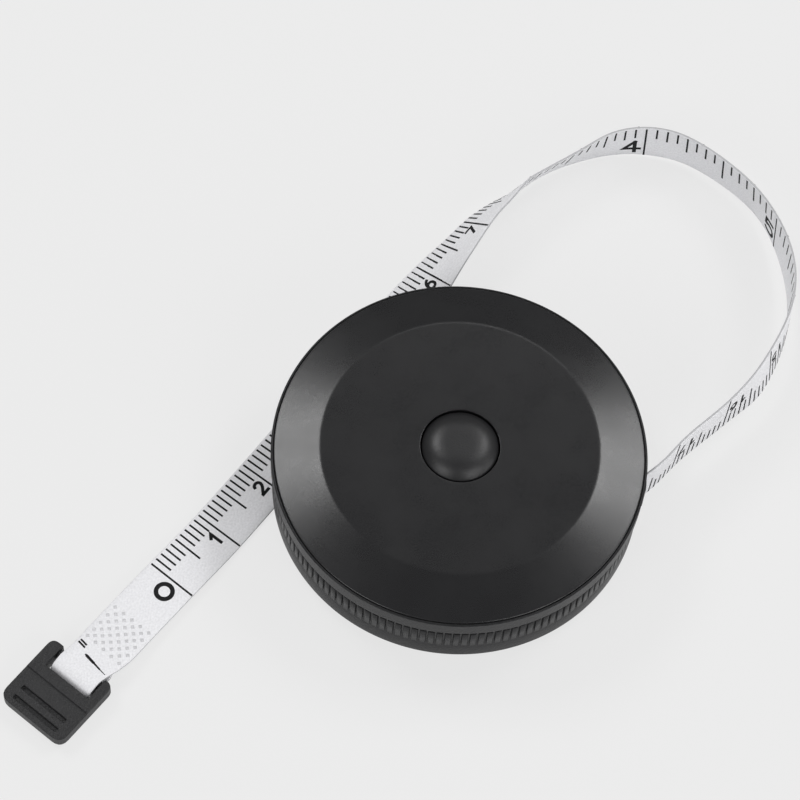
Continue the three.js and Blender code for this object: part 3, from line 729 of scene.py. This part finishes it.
def mark_tree(name, solid, shape, width, depth, paint, long=False):
    """Marks on the tape: a small solid on each point, turned by "turn"; a long one by "reach"."""
    tree, given, end = node_tree(name, {width: "Float", depth: "Float", paint: "Material"})
    along = attribute(tree, "reach", "FLOAT") if long else given[width]
    size = add(tree, "ShaderNodeCombineXYZ", {"X": given[width], "Y": along, "Z": given[depth]})
    rows = add(tree, "GeometryNodeInstanceOnPoints", {
        "Points": given["Geometry"], "Instance": add(tree, solid, shape).outputs[0],
        "Rotation": attribute(tree, "turn", "FLOAT_VECTOR"), "Scale": size.outputs[0]})
    return close_tree(tree, rows.outputs[0], given[paint], end)


def rib_tree():
    """Ribs: the object's own rib set round the axis, with none at the mouth."""
    tree, given, end = node_tree("rim_ribs", {
        "Ribs": "Int", "Mouth angle": "Float", "Mouth gap": "Float", "Plastic": "Material"})
    places = add(tree, "GeometryNodePoints", {"Count": given["Ribs"]})
    index = add(tree, "GeometryNodeInputIndex").outputs[0]
    pitch = calc(tree, "DIVIDE", 2 * math.pi, given["Ribs"])
    angle = calc(tree, "MULTIPLY", calc(tree, "ADD", index, 0.5), pitch)
    off = calc(tree, "COSINE", calc(tree, "SUBTRACT", angle, given["Mouth angle"]))
    keep = calc(tree, "LESS_THAN", off, calc(tree, "COSINE", given["Mouth gap"]))
    turn = add(tree, "ShaderNodeCombineXYZ", {"Z": angle})
    rows = add(tree, "GeometryNodeInstanceOnPoints", {
        "Points": places.outputs[0], "Selection": keep, "Instance": given["Geometry"],
        "Rotation": turn.outputs[0]})
    return close_tree(tree, rows.outputs[0], given["Plastic"], end)


# Materials

def blank(name):
    """A new material with its tree and its shader."""
    material = bpy.data.materials.new(name)
    material.use_nodes = True
    tree = material.node_tree
    return material, tree, tree.nodes["Principled BSDF"]


def shade(tree, factor, dark, light):
    """A colour between two others."""
    mix = add(tree, "ShaderNodeMix", {"Factor": factor}, data_type="RGBA")
    mix.inputs[6].default_value = (*dark, 1)
    mix.inputs[7].default_value = (*light, 1)
    return mix.outputs[2]


def moulded(name, colour):
    """Plastic, rubber, ink or wire: fine grain and faint mottling, as its row of LOOKS says."""
    roughness, grain, depth, mottle, metallic, gloss = LOOKS[name]
    material, tree, shader = blank(name)
    place = add(tree, "ShaderNodeTexCoord").outputs["Object"]
    fine = add(tree, "ShaderNodeTexNoise", {"Vector": place, "Scale": 1 / (grain * MM),
                                            "Detail": 2.0, "Roughness": 0.6}).outputs["Fac"]
    broad = add(tree, "ShaderNodeTexNoise", {"Vector": place, "Scale": MOTTLE_SCALE,
                                             "Detail": 3.0}).outputs["Fac"]
    both = calc(tree, "ADD", calc(tree, "MULTIPLY", fine, 0.5), calc(tree, "MULTIPLY", broad, 0.5))
    dark = tuple(c * (1 - mottle) for c in colour)
    light = tuple(min(1, c * (1 + mottle)) for c in colour)
    tree.links.new(shade(tree, both, dark, light), shader.inputs["Base Color"])
    rough = add(tree, "ShaderNodeMapRange", {
        "Value": both, "From Min": 0.3, "From Max": 0.7,
        "To Min": roughness - ROUGH_SPREAD, "To Max": roughness + ROUGH_SPREAD})
    tree.links.new(rough.outputs[0], shader.inputs["Roughness"])
    bump = add(tree, "ShaderNodeBump", {"Height": fine, "Strength": 1.0, "Distance": depth * MM})
    tree.links.new(bump.outputs[0], shader.inputs["Normal"])
    shader.inputs["Metallic"].default_value = metallic
    shader.inputs["Specular IOR Level"].default_value = gloss
    return material


def cloth(name, colour):
    """Coated woven cloth: threads along and across the tape, greyer at its two edges."""
    material, tree, shader = blank(name)
    uv = add(tree, "ShaderNodeTexCoord").outputs["UV"]
    parts = add(tree, "ShaderNodeSeparateXYZ", {"Vector": uv})
    threads = 2 * math.pi * THREADS
    warp = calc(tree, "SINE", calc(tree, "MULTIPLY", parts.outputs["Y"], threads))
    weft = calc(tree, "SINE", calc(tree, "MULTIPLY", parts.outputs["X"], threads))
    weave = calc(tree, "MULTIPLY", warp, weft)
    speck = add(tree, "ShaderNodeTexNoise", {"Vector": uv, "Scale": 24.0, "Detail": 3.0,
                                             "Roughness": 0.65}).outputs["Fac"]
    level = calc(tree, "ADD", calc(tree, "MULTIPLY", weave, WEAVE), speck)
    dark, light = (tuple(min(1, c * tone) for c in colour) for tone in CLOTH_TONES)
    ground = shade(tree, level, dark, light)
    away = calc(tree, "ABSOLUTE", calc(tree, "SUBTRACT", parts.outputs["Y"], 0.5))
    edge = add(tree, "ShaderNodeMapRange", {
        "Value": away, "From Min": EDGE_START, "From Max": EDGE_END,
        "To Min": 0.0, "To Max": EDGE_SHARE}).outputs[0]
    mix = add(tree, "ShaderNodeMix", {"Factor": edge}, data_type="RGBA")
    tree.links.new(ground, mix.inputs[6])
    mix.inputs[7].default_value = (*(c * EDGE_TONE for c in colour), 1)
    tree.links.new(mix.outputs[2], shader.inputs["Base Color"])
    shader.inputs["Roughness"].default_value = 0.6
    bump = add(tree, "ShaderNodeBump", {"Height": level, "Strength": 0.5, "Distance": 0.03 * MM})
    tree.links.new(bump.outputs[0], shader.inputs["Normal"])
    return material


# Operators

class TAPEMEASURE_OT_stage(bpy.types.Operator):
    """Floor, lamps, even light and the camera at the photograph's angle"""
    bl_idname = "tape_measure.stage"
    bl_label = "Stage"

    def execute(self, context):
        stage = context.scene.tape_measure.stage
        context.scene.view_settings.view_transform = "Standard"
        self.camera(context, stage)
        self.floor(stage)
        self.sky(context, stage)
        for name, (place, size, light) in LAMPS.items():
            self.lamp(context, name, Vector(place), size, getattr(stage, light))
        return {"FINISHED"}

    def camera(self, context, stage):
        """Camera that looks at its target from the photograph's side."""
        camera = bpy.data.cameras.new("photo_camera")
        camera.lens = stage.lens
        camera.clip_start = 0.01
        obj = bpy.data.objects.new("photo_camera", camera)
        context.scene.collection.objects.link(obj)
        back = Vector((0, -math.cos(stage.elevation), math.sin(stage.elevation)))
        right = Vector((1, 0, 0))
        up = back.cross(right)
        c, s = math.cos(stage.roll), math.sin(stage.roll)
        right, up = right * c + up * s, up * c - right * s
        turn = Matrix((right, up, back)).transposed()
        place = Vector(stage.target) + back * stage.distance
        obj.matrix_world = Matrix.Translation(place) @ turn.to_4x4()
        context.scene.camera = obj

    def floor(self, stage):
        """Pale floor that shows mostly as its plain colour, with soft shadows."""
        material, tree, shader = blank("pale_floor")
        shader.inputs["Roughness"].default_value = 0.9
        shader.inputs["Specular IOR Level"].default_value = 0.0
        shader.inputs["Base Color"].default_value = (*stage.ground, 1)
        glow = add(tree, "ShaderNodeEmission", {"Color": (*stage.ground, 1), "Strength": 1.0})
        path = add(tree, "ShaderNodeLightPath")
        seen = calc(tree, "MAXIMUM", path.outputs["Is Camera Ray"], path.outputs["Is Glossy Ray"])
        seen = calc(tree, "MAXIMUM", seen, path.outputs["Is Transmission Ray"])
        share = calc(tree, "MULTIPLY", seen, stage.ground_glow)
        mix = add(tree, "ShaderNodeMixShader", {0: share, 1: shader.outputs[0], 2: glow.outputs[0]})
        tree.links.new(mix.outputs[0], tree.nodes["Material Output"].inputs["Surface"])
        bm = bmesh.new()
        bmesh.ops.create_grid(bm, x_segments=4, y_segments=4, size=FLOOR_HALF)
        bmesh.ops.translate(bm, verts=bm.verts[:], vec=(0, 0, -FLOOR_DROP))
        put("floor", to_mesh(bm, "floor"), material)

    def sky(self, context, stage):
        """Even light from all round, which the camera sees as the floor's tone."""
        world = bpy.data.worlds.new("even_sky")
        world.use_nodes = True
        context.scene.world = world
        tree = world.node_tree
        path = add(tree, "ShaderNodeLightPath")
        seen = path.outputs["Is Camera Ray"]
        back = tree.nodes["Background"]
        back.inputs["Color"].default_value = (1, 1, 1, 1)
        level = add(tree, "ShaderNodeMapRange", {"Value": seen, "To Min": stage.sky,
                                                 "To Max": stage.ground[0]})
        tree.links.new(level.outputs[0], back.inputs["Strength"])

    def lamp(self, context, name, place, size, power):
        """Flat lamp that faces the origin."""
        light = bpy.data.lights.new(name, "AREA")
        light.shape = "RECTANGLE"
        light.size, light.size_y = size
        light.energy = power
        obj = bpy.data.objects.new(name, light)
        context.scene.collection.objects.link(obj)
        away = place.normalized()
        across = Vector((0, -away.z, away.y)).normalized()
        turn = Matrix((across, away.cross(across), away)).transposed()
        obj.matrix_world = Matrix.Translation(place) @ turn.to_4x4()


class TAPEMEASURE_OT_tape(bpy.types.Operator):
    """Cloth tape from its fold at the tab to its last turn on the reel"""
    bl_idname = "tape_measure.tape"
    bl_label = "Cloth tape"

    def execute(self, context):
        tape = context.scene.tape_measure.tape
        line = TapeLine()
        fabric = cloth("tape_cloth", tape.cloth)
        inside = line.inside
        fold = np.arange(line.s[0], FOLD_END, FOLD_STATION)
        loose = np.r_[fold, np.arange(FOLD_END, inside, tape.station), inside]
        strip = ribbon("cloth_tape", line, loose, tape.thickness, fabric)
        dress(strip, "case", "tape_white", "tape")
        turn = np.linspace(inside, line.s[-1], LAST_TURN_STEPS)
        dress(ribbon("tape_last_turn", line, turn, tape.thickness, fabric), "case", "tape_white")
        return {"FINISHED"}


class TAPEMEASURE_OT_scale(bpy.types.Operator):
    """Printed lines and numerals, centimetres on one face and inches on the other, and the weld"""
    bl_idname = "tape_measure.scale"
    bl_label = "Printed scale"

    def execute(self, context):
        tape = context.scene.tape_measure.tape
        self.line = TapeLine()
        self.ink = moulded("scale_ink", tape.ink)
        self.lines(tape)
        self.numerals(tape)
        self.weld(tape)
        return {"FINISHED"}

    def marks(self, step, shift, first=0):
        """Number and place of each mark of a scale, as far as the mouth."""
        for count in range(first, LINES_AT_MOST):
            place = self.line.mark(count * step) + shift
            if place > self.line.inside:
                return
            yield count, place

    def bars(self, name, rows):
        """Points with turn and length, from rows of place along, start and end across, and face."""
        rows = np.array(rows)
        middle, face = (rows[:, 1:2] + rows[:, 2:3]) / 2, rows[:, 3:4]
        p, w, n = self.line.at(rows[:, 0])
        spots = p + w * middle + n * (face * settings().tape.thickness / 2)
        turns = [Matrix((np.cross(a, b), a, b)).transposed().to_euler()
                 for a, b in zip(-w * face, n * face)]
        mesh = bpy.data.meshes.new(name)
        mesh.from_pydata(spots.tolist(), [], [])
        turn = mesh.attributes.new("turn", "FLOAT_VECTOR", "POINT")
        turn.data.foreach_set("vector", np.array([tuple(t) for t in turns]).ravel())
        reach = mesh.attributes.new("reach", "FLOAT", "POINT")
        reach.data.foreach_set("value", np.abs(rows[:, 2] - rows[:, 1]))
        return put(name, mesh)

    def lines(self, tape):
        """Lines of both scales, which start at one edge."""
        start, longest = tape.edge - tape.width / 2, tape.width - tape.edge - LINE_END
        rows = []
        for face, step, shift, lengths in ((1, MM, 0, CM_LINES),
                                           (-1, INCH / 16, tape.inch_shift, INCH_LINES)):
            for count, place in self.marks(step, shift):
                reach = next(r for every, r in lengths if count % every == 0) * MM
                rows.append((place, face * start, face * (start + min(reach, longest)), face))
        obj = self.bars("scale_lines", rows)
        tree = mark_tree("printed_lines", "GeometryNodeMeshCube", {"Size": (1, 1, 1)},
                         "Line width", "Ink depth", "Ink", long=True)
        grow(obj, tree, {"Line width": tape.line, "Ink depth": tape.print_depth, "Ink": self.ink})
        dress(obj, "case", "tape_white")

    def stroke(self, bm, knots, smooth, thick, to_tape):
        """One closed flat stroke of a numeral, laid on the tape."""
        spots = []
        for i, (a, b) in enumerate(zip(knots, knots[1:])):
            count = max(2, math.ceil(np.linalg.norm(b - a) / STROKE_STEP))
            for f in np.arange(count) / count:
                spots.append(centripetal(knots, i + f) if smooth else a * (1 - f) + b * f)
        spots = np.array([*spots, knots[-1]])
        steps = unit(np.diff(spots, axis=0))
        before, after = np.vstack([steps[:1], steps]), np.vstack([steps, steps[-1:]])
        miter = unit(before + after)
        grow_by = 1 / np.clip((miter * after).sum(1), MITER_LIMIT, 1)
        out = np.stack([-miter[:, 1], miter[:, 0]], -1) * (grow_by * thick / 2)[:, None]
        overrun = 0 if smooth else thick / 2
        spots[0] -= steps[0] * overrun
        spots[-1] += steps[-1] * overrun
        lift = settings().tape.print_depth / 2
        rings = [[bm.verts.new(q) for q in to_tape(spots + side * out, np.full(len(spots), rise))]
                 for side, rise in ((1, lift), (-1, lift), (-1, -lift), (1, -lift))]
        bridge(bm, rings + rings[:1], closed=False)
        for end in (0, -1):
            bm.faces.new([ring[end] for ring in rings])

    def numerals(self, tape):
        """Numerals of both scales, the zero and the marks next to the fold."""
        bm = bmesh.new()
        for face, step, shift, form in ((1, 10 * MM, 0, CM_NUMERALS),
                                        (-1, INCH, tape.inch_shift, INCH_NUMERALS)):
            for count, place in self.marks(step, shift, 1):
                self.stamp(bm, str(count), place, np.array(form) * MM, face)
        self.zero_ring(bm, tape)
        for a, b, thick in FOLD_MARKS:
            self.stroke(bm, [np.array(a) * MM, np.array(b) * MM], False, thick * MM,
                        lambda flat, lift: self.line.surface(flat[:, 0], flat[:, 1], lift, 1))
        bmesh.ops.recalc_face_normals(bm, faces=bm.faces[:])
        dress(put("scale_numerals", to_mesh(bm, "scale_numerals"), self.ink), "case", "tape_white")

    def stamp(self, bm, digits, place, form, face):
        """A number that ends just before its line."""
        top, wide, high, thick = form
        step = wide + thick * DIGIT_GAP
        start = place - NUMERAL_GAP - wide - step * (len(digits) - 1)
        low = top + high - settings().tape.width / 2
        for k, digit in enumerate(digits):
            def to_tape(flat, lift):
                return self.line.surface(start + k * step + flat[:, 0], face * (low - flat[:, 1]),
                                         lift, face)

            for smooth, knots in STROKES[digit]:
                spots = [np.array(q) * (form[1:3] - thick) + thick / 2 for q in knots]
                self.stroke(bm, spots, smooth, thick, to_tape)

    def zero_ring(self, bm, tape):
        """The bold ring of the zero."""
        outer, inner, before, across = np.array(ZERO) * MM
        steps = 40
        angle = np.arange(steps) * 2 * math.pi / steps
        lift = tape.print_depth / 2
        rings = []
        for radius, rise in ((outer, lift), (inner, lift), (inner, -lift), (outer, -lift)):
            spots = self.line.surface(tape.zero - before + radius * np.cos(angle),
                                      across - tape.width / 2 + radius * np.sin(angle),
                                      np.full(steps, rise), 1)
            rings.append([bm.verts.new(q) for q in spots])
        bridge(bm, rings + rings[:1])

    def weld(self, tape):
        """Rows of pressed dots where the folded end is welded to the tape."""
        rows = []
        for i in range(WELD_ROWS):
            for j in range(-3, 4):
                across = (j + 0.5 * (i % 2)) * tape.weld_pitch
                if abs(across) < tape.width / 2 - WELD_MARGIN:
                    rows.append((tape.weld_start + i * 0.5 * tape.weld_pitch, across, across, 1))
        obj = self.bars("weld_dots", rows)
        dots = moulded("weld_cloth", tuple(c * WELD_TONE for c in tape.cloth))
        tree = mark_tree("weld_dots", "GeometryNodeMeshCone",
                         {"Vertices": 4, "Radius Top": 0.35, "Radius Bottom": 1.0, "Depth": 1.0},
                         "Dot size", "Dot height", "Cloth")
        grow(obj, tree, {"Dot size": tape.dot, "Dot height": tape.dot_height, "Cloth": dots},
             sharp=20)
        dress(obj, "case", "tape_white")


class TAPEMEASURE_OT_tab(bpy.types.Operator):
    """Black end tab with its bar, stepped grip and grooves"""
    bl_idname = "tape_measure.tab"
    bl_label = "End tab"

    def execute(self, context):
        tab, tape = context.scene.tape_measure.tab, context.scene.tape_measure.tape
        plastic = moulded("tab_plastic", tab.colour)
        obj = node_copy("end_tab", "grip_tab", plastic)
        remesh = obj.modifiers.new("round", "REMESH")
        remesh.mode = "VOXEL"
        remesh.voxel_size = tab.voxel
        soft = obj.modifiers.new("soften", "SMOOTH")
        soft.factor = 0.5
        soft.iterations = tab.soften
        settle(obj, sharp=180)
        obj.data.materials.clear()
        obj.data.materials.append(plastic)
        dress(obj, "tab", "tab_black", "end_tab")
        line = TapeLine()
        path = line.at(np.linspace(line.inside, 0, PATH_STEPS))[0]
        mouth = run_line()[0]
        tuple(mouth)
        return {"FINISHED"}


class TAPEMEASURE_OT_covers(bpy.types.Operator):
    """Front cover with the button's hole, and back cover with the boss and thrust ring"""
    bl_idname = "tape_measure.covers"
    bl_label = "Covers"

    def execute(self, context):
        case, button = context.scene.tape_measure.case, context.scene.tape_measure.button
        plastic = moulded("case_plastic", case.colour)
        hole = button.diameter / 2 + button.gap
        tube = hole + case.tube_wall
        front = self.outline(case, case.diameter / 2, case.front_face / 2, hole, [
            (tube, case.shell, 0), (tube, case.spigot_end, 0), (hole, case.spigot_end, 0)])
        front = [(r, case.height - z) for r, z in rounded(front)]
        dress(put("front_cover", to_mesh(lathe(front), "front_cover"), plastic),
              "case", "case_black", "top_cover")
        back = self.outline(case, case.back_edge, case.back_face / 2, 0, [
            (case.thrust_outer, case.shell, 0), (case.thrust_outer, case.thrust_top, 0),
            (case.thrust_inner, case.thrust_top, 0), (case.thrust_inner, case.shell, 0),
            (case.boss, case.shell, 0), (case.boss, case.boss_top, 0), (0, case.boss_top, 0)])
        cover = put("back_case", to_mesh(lathe(rounded(back)), "back_case"), plastic)
        hollow = prism(hexagon(case.socket), case.socket_floor, case.boss_top + SOCKET_SPARE)
        socket = put("socket", to_mesh(hollow, "socket"), plastic)
        dress(join_form(cover, socket, "DIFFERENCE"), "case", "case_black", "back_cover")
        return {"FINISHED"}

    def outline(self, case, outer, face, hole, inside):
        """Half section of a cover, from its face inward."""
        slope = case.bevel_drop / (outer - BEVEL_INSET - face)
        inner = case.spigot - case.spigot_wall
        return [
            (hole, 0, HOLE_CORNER if hole else 0), (face, 0, FACE_CORNER),
            (outer, slope * (outer - face), EDGE_CORNER), (outer, case.cover_end, END_CORNER),
            (case.spigot, case.cover_end, 0), (case.spigot, case.spigot_end, 0),
            (inner, case.spigot_end, 0),
            (inner, case.shell + slope * (inner - face) * INNER_SLOPE, 0),
            (face, case.shell, 0), *inside]


class TAPEMEASURE_OT_band(bpy.types.Operator):
    """Rim with its ribs, the groove above them, the collar, and the mouth with its lip"""
    bl_idname = "tape_measure.band"
    bl_label = "Rim band"

    def execute(self, context):
        band, case = context.scene.tape_measure.band, context.scene.tape_measure.case
        self.plastic = moulded("band_plastic", band.colour)
        middle = case.height / 2
        low, high = middle - band.rib_height / 2, middle + band.rib_height / 2 + band.line
        floor = band.radius - band.rib_depth
        top, rise = case.height - band.bottom, case.height - band.collar_drop
        seat = case.diameter / 2 + band.seam
        outline = [
            (band.inner, band.bottom, 0), (band.radius, band.bottom, FOOT_CORNER),
            (band.radius, low - band.runout_start, 0), (floor, low + band.runout_end, 0),
            (floor, high, 0), (band.collar, high, COLLAR_CORNER),
            (band.collar, rise - band.collar_fall, COLLAR_CORNER),
            (seat, rise + band.collar_fall, SEAT_CORNER), (seat, top, 0), (band.inner, top, 0)]
        form = lathe(rounded(outline, steps=4), segments=280)
        rim = put("rim_band", to_mesh(form, "rim_band"), self.plastic)
        join_form(rim, self.lip(band, middle), "UNION")
        join_form(rim, self.slot(band, middle), "DIFFERENCE")
        dress(rim, "case", "band_black", "case_band")
        self.ribs(band, middle, floor)
        return {"FINISHED"}

    def reach(self, side_step, radius):
        """Place on the run where it crosses a radius, beside the middle of the slot."""
        mouth, run, side, _ = run_line()
        q = mouth + side * side_step
        q.z = 0
        depth = q.dot(run)
        return -depth - math.sqrt(depth * depth - q.length_squared + radius * radius)

    def spot(self, along, side_step):
        """Point in plan, from the mouth along the run and beside it."""
        mouth, run, side, _ = run_line()
        q = mouth + run * along + side * side_step
        return q.x, q.y

    def lip(self, band, middle):
        """Block on one side of the slot, proud of the band, with softened edges."""
        steps = [(band.mouth / 2 + band.lip_wall) * k / 4 for k in range(5)]
        outer = [self.spot(self.reach(s, band.radius + band.lip), s) for s in steps]
        inner = [self.spot(self.reach(s, band.inner + LIP_OVERLAP), s) for s in reversed(steps)]
        bm = prism(outer + inner, middle - band.lip_height / 2, middle + band.lip_height / 2)
        rim = band.radius + band.lip - LIP_SKIN
        edges = []
        for edge in bm.edges:
            a, b = edge.verts
            level = abs(a.co.z - b.co.z) < LEVEL
            outside = min(a.co.xy.length, b.co.xy.length) > rim
            if outside and (level or edge.calc_face_angle(0) > LIP_BEND):
                edges.append(edge)
        bmesh.ops.bevel(bm, geom=edges, offset=LIP_CORNER, segments=3, affect="EDGES", profile=0.5)
        bmesh.ops.recalc_face_normals(bm, faces=bm.faces[:])
        return put("lip", to_mesh(bm, "lip"), self.plastic)

    def slot(self, band, middle):
        """Block that cuts the mouth through the wall."""
        half = band.mouth / 2
        points = [self.spot(a, s) for a, s in ((SLOT_BEFORE, -half), (SLOT_PAST, -half),
                                               (SLOT_PAST, half), (SLOT_BEFORE, half))]
        bm = prism(points, middle - band.mouth_half, middle + band.mouth_half)
        return put("slot", to_mesh(bm, "slot"), self.plastic)

    def ribs(self, band, middle, floor):
        """One rib, repeated round the rim with none at the mouth."""
        height = band.radius - RIB_SINK - floor
        pitch = 2 * math.pi * floor / band.ribs
        section = [(-x, y) for x, y in RIB_HALF] + list(RIB_HALF[::-1])
        bm = bmesh.new()
        rings = []
        for z, share in RIB_ENDS:
            rings.append([bm.verts.new((
                floor + (-RIB_FOOT if rise < 0 else rise * share * height), across * pitch,
                middle + z * band.rib_height)) for across, rise in section])
        bridge(bm, rings)
        for end in (0, -1):
            bm.faces.new(rings[end])
        bmesh.ops.recalc_face_normals(bm, faces=bm.faces[:])
        obj = put("rim_ribs", to_mesh(bm, "rim_ribs"), self.plastic)
        ends = [self.spot(self.reach(s, band.radius), s)
                for s in (-band.mouth / 2, band.mouth / 2 + band.lip_wall)]
        a, b = (math.atan2(y, x) for x, y in ends)
        gap = abs(a - b) / 2 + RIB_SPARE * 2 * math.pi / band.ribs
        grow(obj, rib_tree(), {"Ribs": band.ribs, "Mouth angle": (a + b) / 2, "Mouth gap": gap,
                               "Plastic": self.plastic})
        dress(obj, "case", "band_black", "case_band")


class TAPEMEASURE_OT_button(bpy.types.Operator):
    """Domed push button with its flange and hexagon stem"""
    bl_idname = "tape_measure.button"
    bl_label = "Push button"

    def execute(self, context):
        button, case = context.scene.tape_measure.button, context.scene.tape_measure.case
        radius = button.diameter / 2
        top = case.height + button.dome
        rise = button.dome + button.rim_drop
        outline = [
            (0, button.seat, 0), (button.pocket, button.seat, 0),
            (button.pocket, button.flange_bottom, 0),
            (button.flange, button.flange_bottom, FLANGE_CORNER),
            (button.flange, button.flange_top, FLANGE_CORNER),
            (radius, button.flange_top, 0), (radius, top - rise, DOME_CORNER)]
        for share in np.linspace(1, 0, DOME_STEPS + 1)[2:-1]:
            outline.append((radius * share, top - rise * share ** button.shoulder, 0))
        outline.append((0, top, 0))
        bm = lathe(rounded(outline), segments=160)
        stem = prism(hexagon(button.stem), button.stem_end, button.seat + STEM_OVERLAP)
        mesh = bpy.data.meshes.new("stem")
        stem.to_mesh(mesh)
        stem.free()
        bm.from_mesh(mesh)
        plastic = moulded("button_plastic", button.colour)
        dress(put("dome_button", to_mesh(bm, "dome_button"), plastic),
              "button", "button_black", "push_button")
        return {"FINISHED"}


class WoundLine:
    """Spiral of the wound turns, from the outside inward, with the same distance for every turn."""

    def __init__(self, outer, inner, pitch, start, height):
        self.outer, self.pitch, self.start, self.height = outer, pitch, start, height
        self.turns = (outer - inner) / pitch

    def at(self, s):
        """Points, directions across and normals at these distances."""
        turns = np.atleast_1d(s) / WOUND_TURN
        a = self.start - 2 * math.pi * turns
        n = np.stack([np.cos(a), np.sin(a), 0 * a], -1)
        w = np.repeat([[0.0, 0.0, 1.0]], len(a), 0)
        return n * (self.outer - self.pitch * turns)[:, None] + w * self.height, w, n

    def half(self, s):
        """Half of the width."""
        return np.full(len(s), settings().tape.width / 2)


class TAPEMEASURE_OT_reel(bpy.types.Operator):
    """Wound turns of tape on the reel"""
    bl_idname = "tape_measure.reel"
    bl_label = "Wound tape"

    def execute(self, context):
        tape, case = context.scene.tape_measure.tape, context.scene.tape_measure.case
        half = tape.thickness / 2
        start = run_line()[3] - 1.5 * math.pi - LAST_TURN
        line = WoundLine(tape.wound_outer - half, tape.wound_inner + half, tape.layer, start,
                         case.height / 2)
        steps = np.linspace(0, line.turns, int(line.turns * TURN_STEPS)) * WOUND_TURN
        obj = ribbon("wound_turns", line, steps, tape.thickness, bpy.data.materials["tape_cloth"])
        dress(obj, "reel", "tape_white", "wound_tape")
        return {"FINISHED"}


class TAPEMEASURE_OT_works(bpy.types.Operator):
    """Finishes of the arbor, main spring, reel and brake ring, and the button's spring"""
    bl_idname = "tape_measure.works"
    bl_label = "Works inside"

    def execute(self, context):
        white, grey, steel, rubber = (moulded(name, FINISHES[slot]) for name, slot in (
            ("reel_plastic", "reel_white"), ("arbor_plastic", "arbor_grey"),
            ("spring_wire", "spring_steel"), ("brake_rubber", "brake_rubber")))
        for node, material in (("arbor", grey), ("main_spring", steel), ("reel_drum", white),
                               ("reel_cover", white), ("brake_ring", rubber)):
            frame["nodes"][node].material_slots[0].material = material
        self.return_spring(steel)
        return {"FINISHED"}

    def return_spring(self, steel):
        """The button's spring, copied from its CAD node with a mesh of its own."""
        coil = node_copy("button_spring", "return_spring", steel, sharp=50)
        dress(coil, "case", "spring_steel", "button_spring")
        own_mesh(coil)


class TAPEMEASURE_PT_panel(bpy.types.Panel):
    """The pieces and their main sizes"""
    bl_label = "Tape measure"
    bl_idname = "TAPEMEASURE_PT_panel"
    bl_space_type = "VIEW_3D"
    bl_region_type = "UI"
    bl_category = "Tape measure"

    def draw(self, context):
        own = context.scene.tape_measure
        for label, group, fields, operator in (
                ("Stage", own.stage, ("ground", "sky", "side_light"), "tape_measure.stage"),
                ("Tape", own.tape, ("width", "zero", "cloth"), "tape_measure.tape"),
                ("Scale", own.tape, ("line", "ink"), "tape_measure.scale"),
                ("Tab", own.tab, ("voxel", "colour"), "tape_measure.tab"),
                ("Covers", own.case, ("diameter", "height", "colour"), "tape_measure.covers"),
                ("Band", own.band, ("ribs", "rib_depth", "colour"), "tape_measure.band"),
                ("Button", own.button, ("diameter", "dome", "colour"), "tape_measure.button"),
                ("Reel", own.tape, ("layer",), "tape_measure.reel"),
                ("Works", None, (), "tape_measure.works")):
            box = self.layout.box()
            box.label(text=label)
            for field in fields:
                box.prop(group, field)
            box.operator(operator)


CLASSES = (
    TAPEMEASURE_PG_case, TAPEMEASURE_PG_band, TAPEMEASURE_PG_button, TAPEMEASURE_PG_tape,
    TAPEMEASURE_PG_tab, TAPEMEASURE_PG_stage, TAPEMEASURE_PG_settings,
    TAPEMEASURE_OT_stage, TAPEMEASURE_OT_tape, TAPEMEASURE_OT_scale, TAPEMEASURE_OT_tab,
    TAPEMEASURE_OT_covers, TAPEMEASURE_OT_band, TAPEMEASURE_OT_button, TAPEMEASURE_OT_reel,
    TAPEMEASURE_OT_works, TAPEMEASURE_PT_panel,
)


def register():
    for cls in CLASSES:
        bpy.utils.register_class(cls)
    bpy.types.Scene.tape_measure = PointerProperty(type=TAPEMEASURE_PG_settings)


def unregister():
    del bpy.types.Scene.tape_measure
    for cls in reversed(CLASSES):
        bpy.utils.unregister_class(cls)


def main():
    register()
    bpy.ops.tape_measure.stage()
    bpy.ops.tape_measure.tape()
    bpy.ops.tape_measure.scale()
    bpy.ops.tape_measure.tab()
    bpy.ops.tape_measure.covers()
    bpy.ops.tape_measure.band()
    bpy.ops.tape_measure.button()
    bpy.ops.tape_measure.reel()
    bpy.ops.tape_measure.works()


if __name__ == "__main__":
    main()
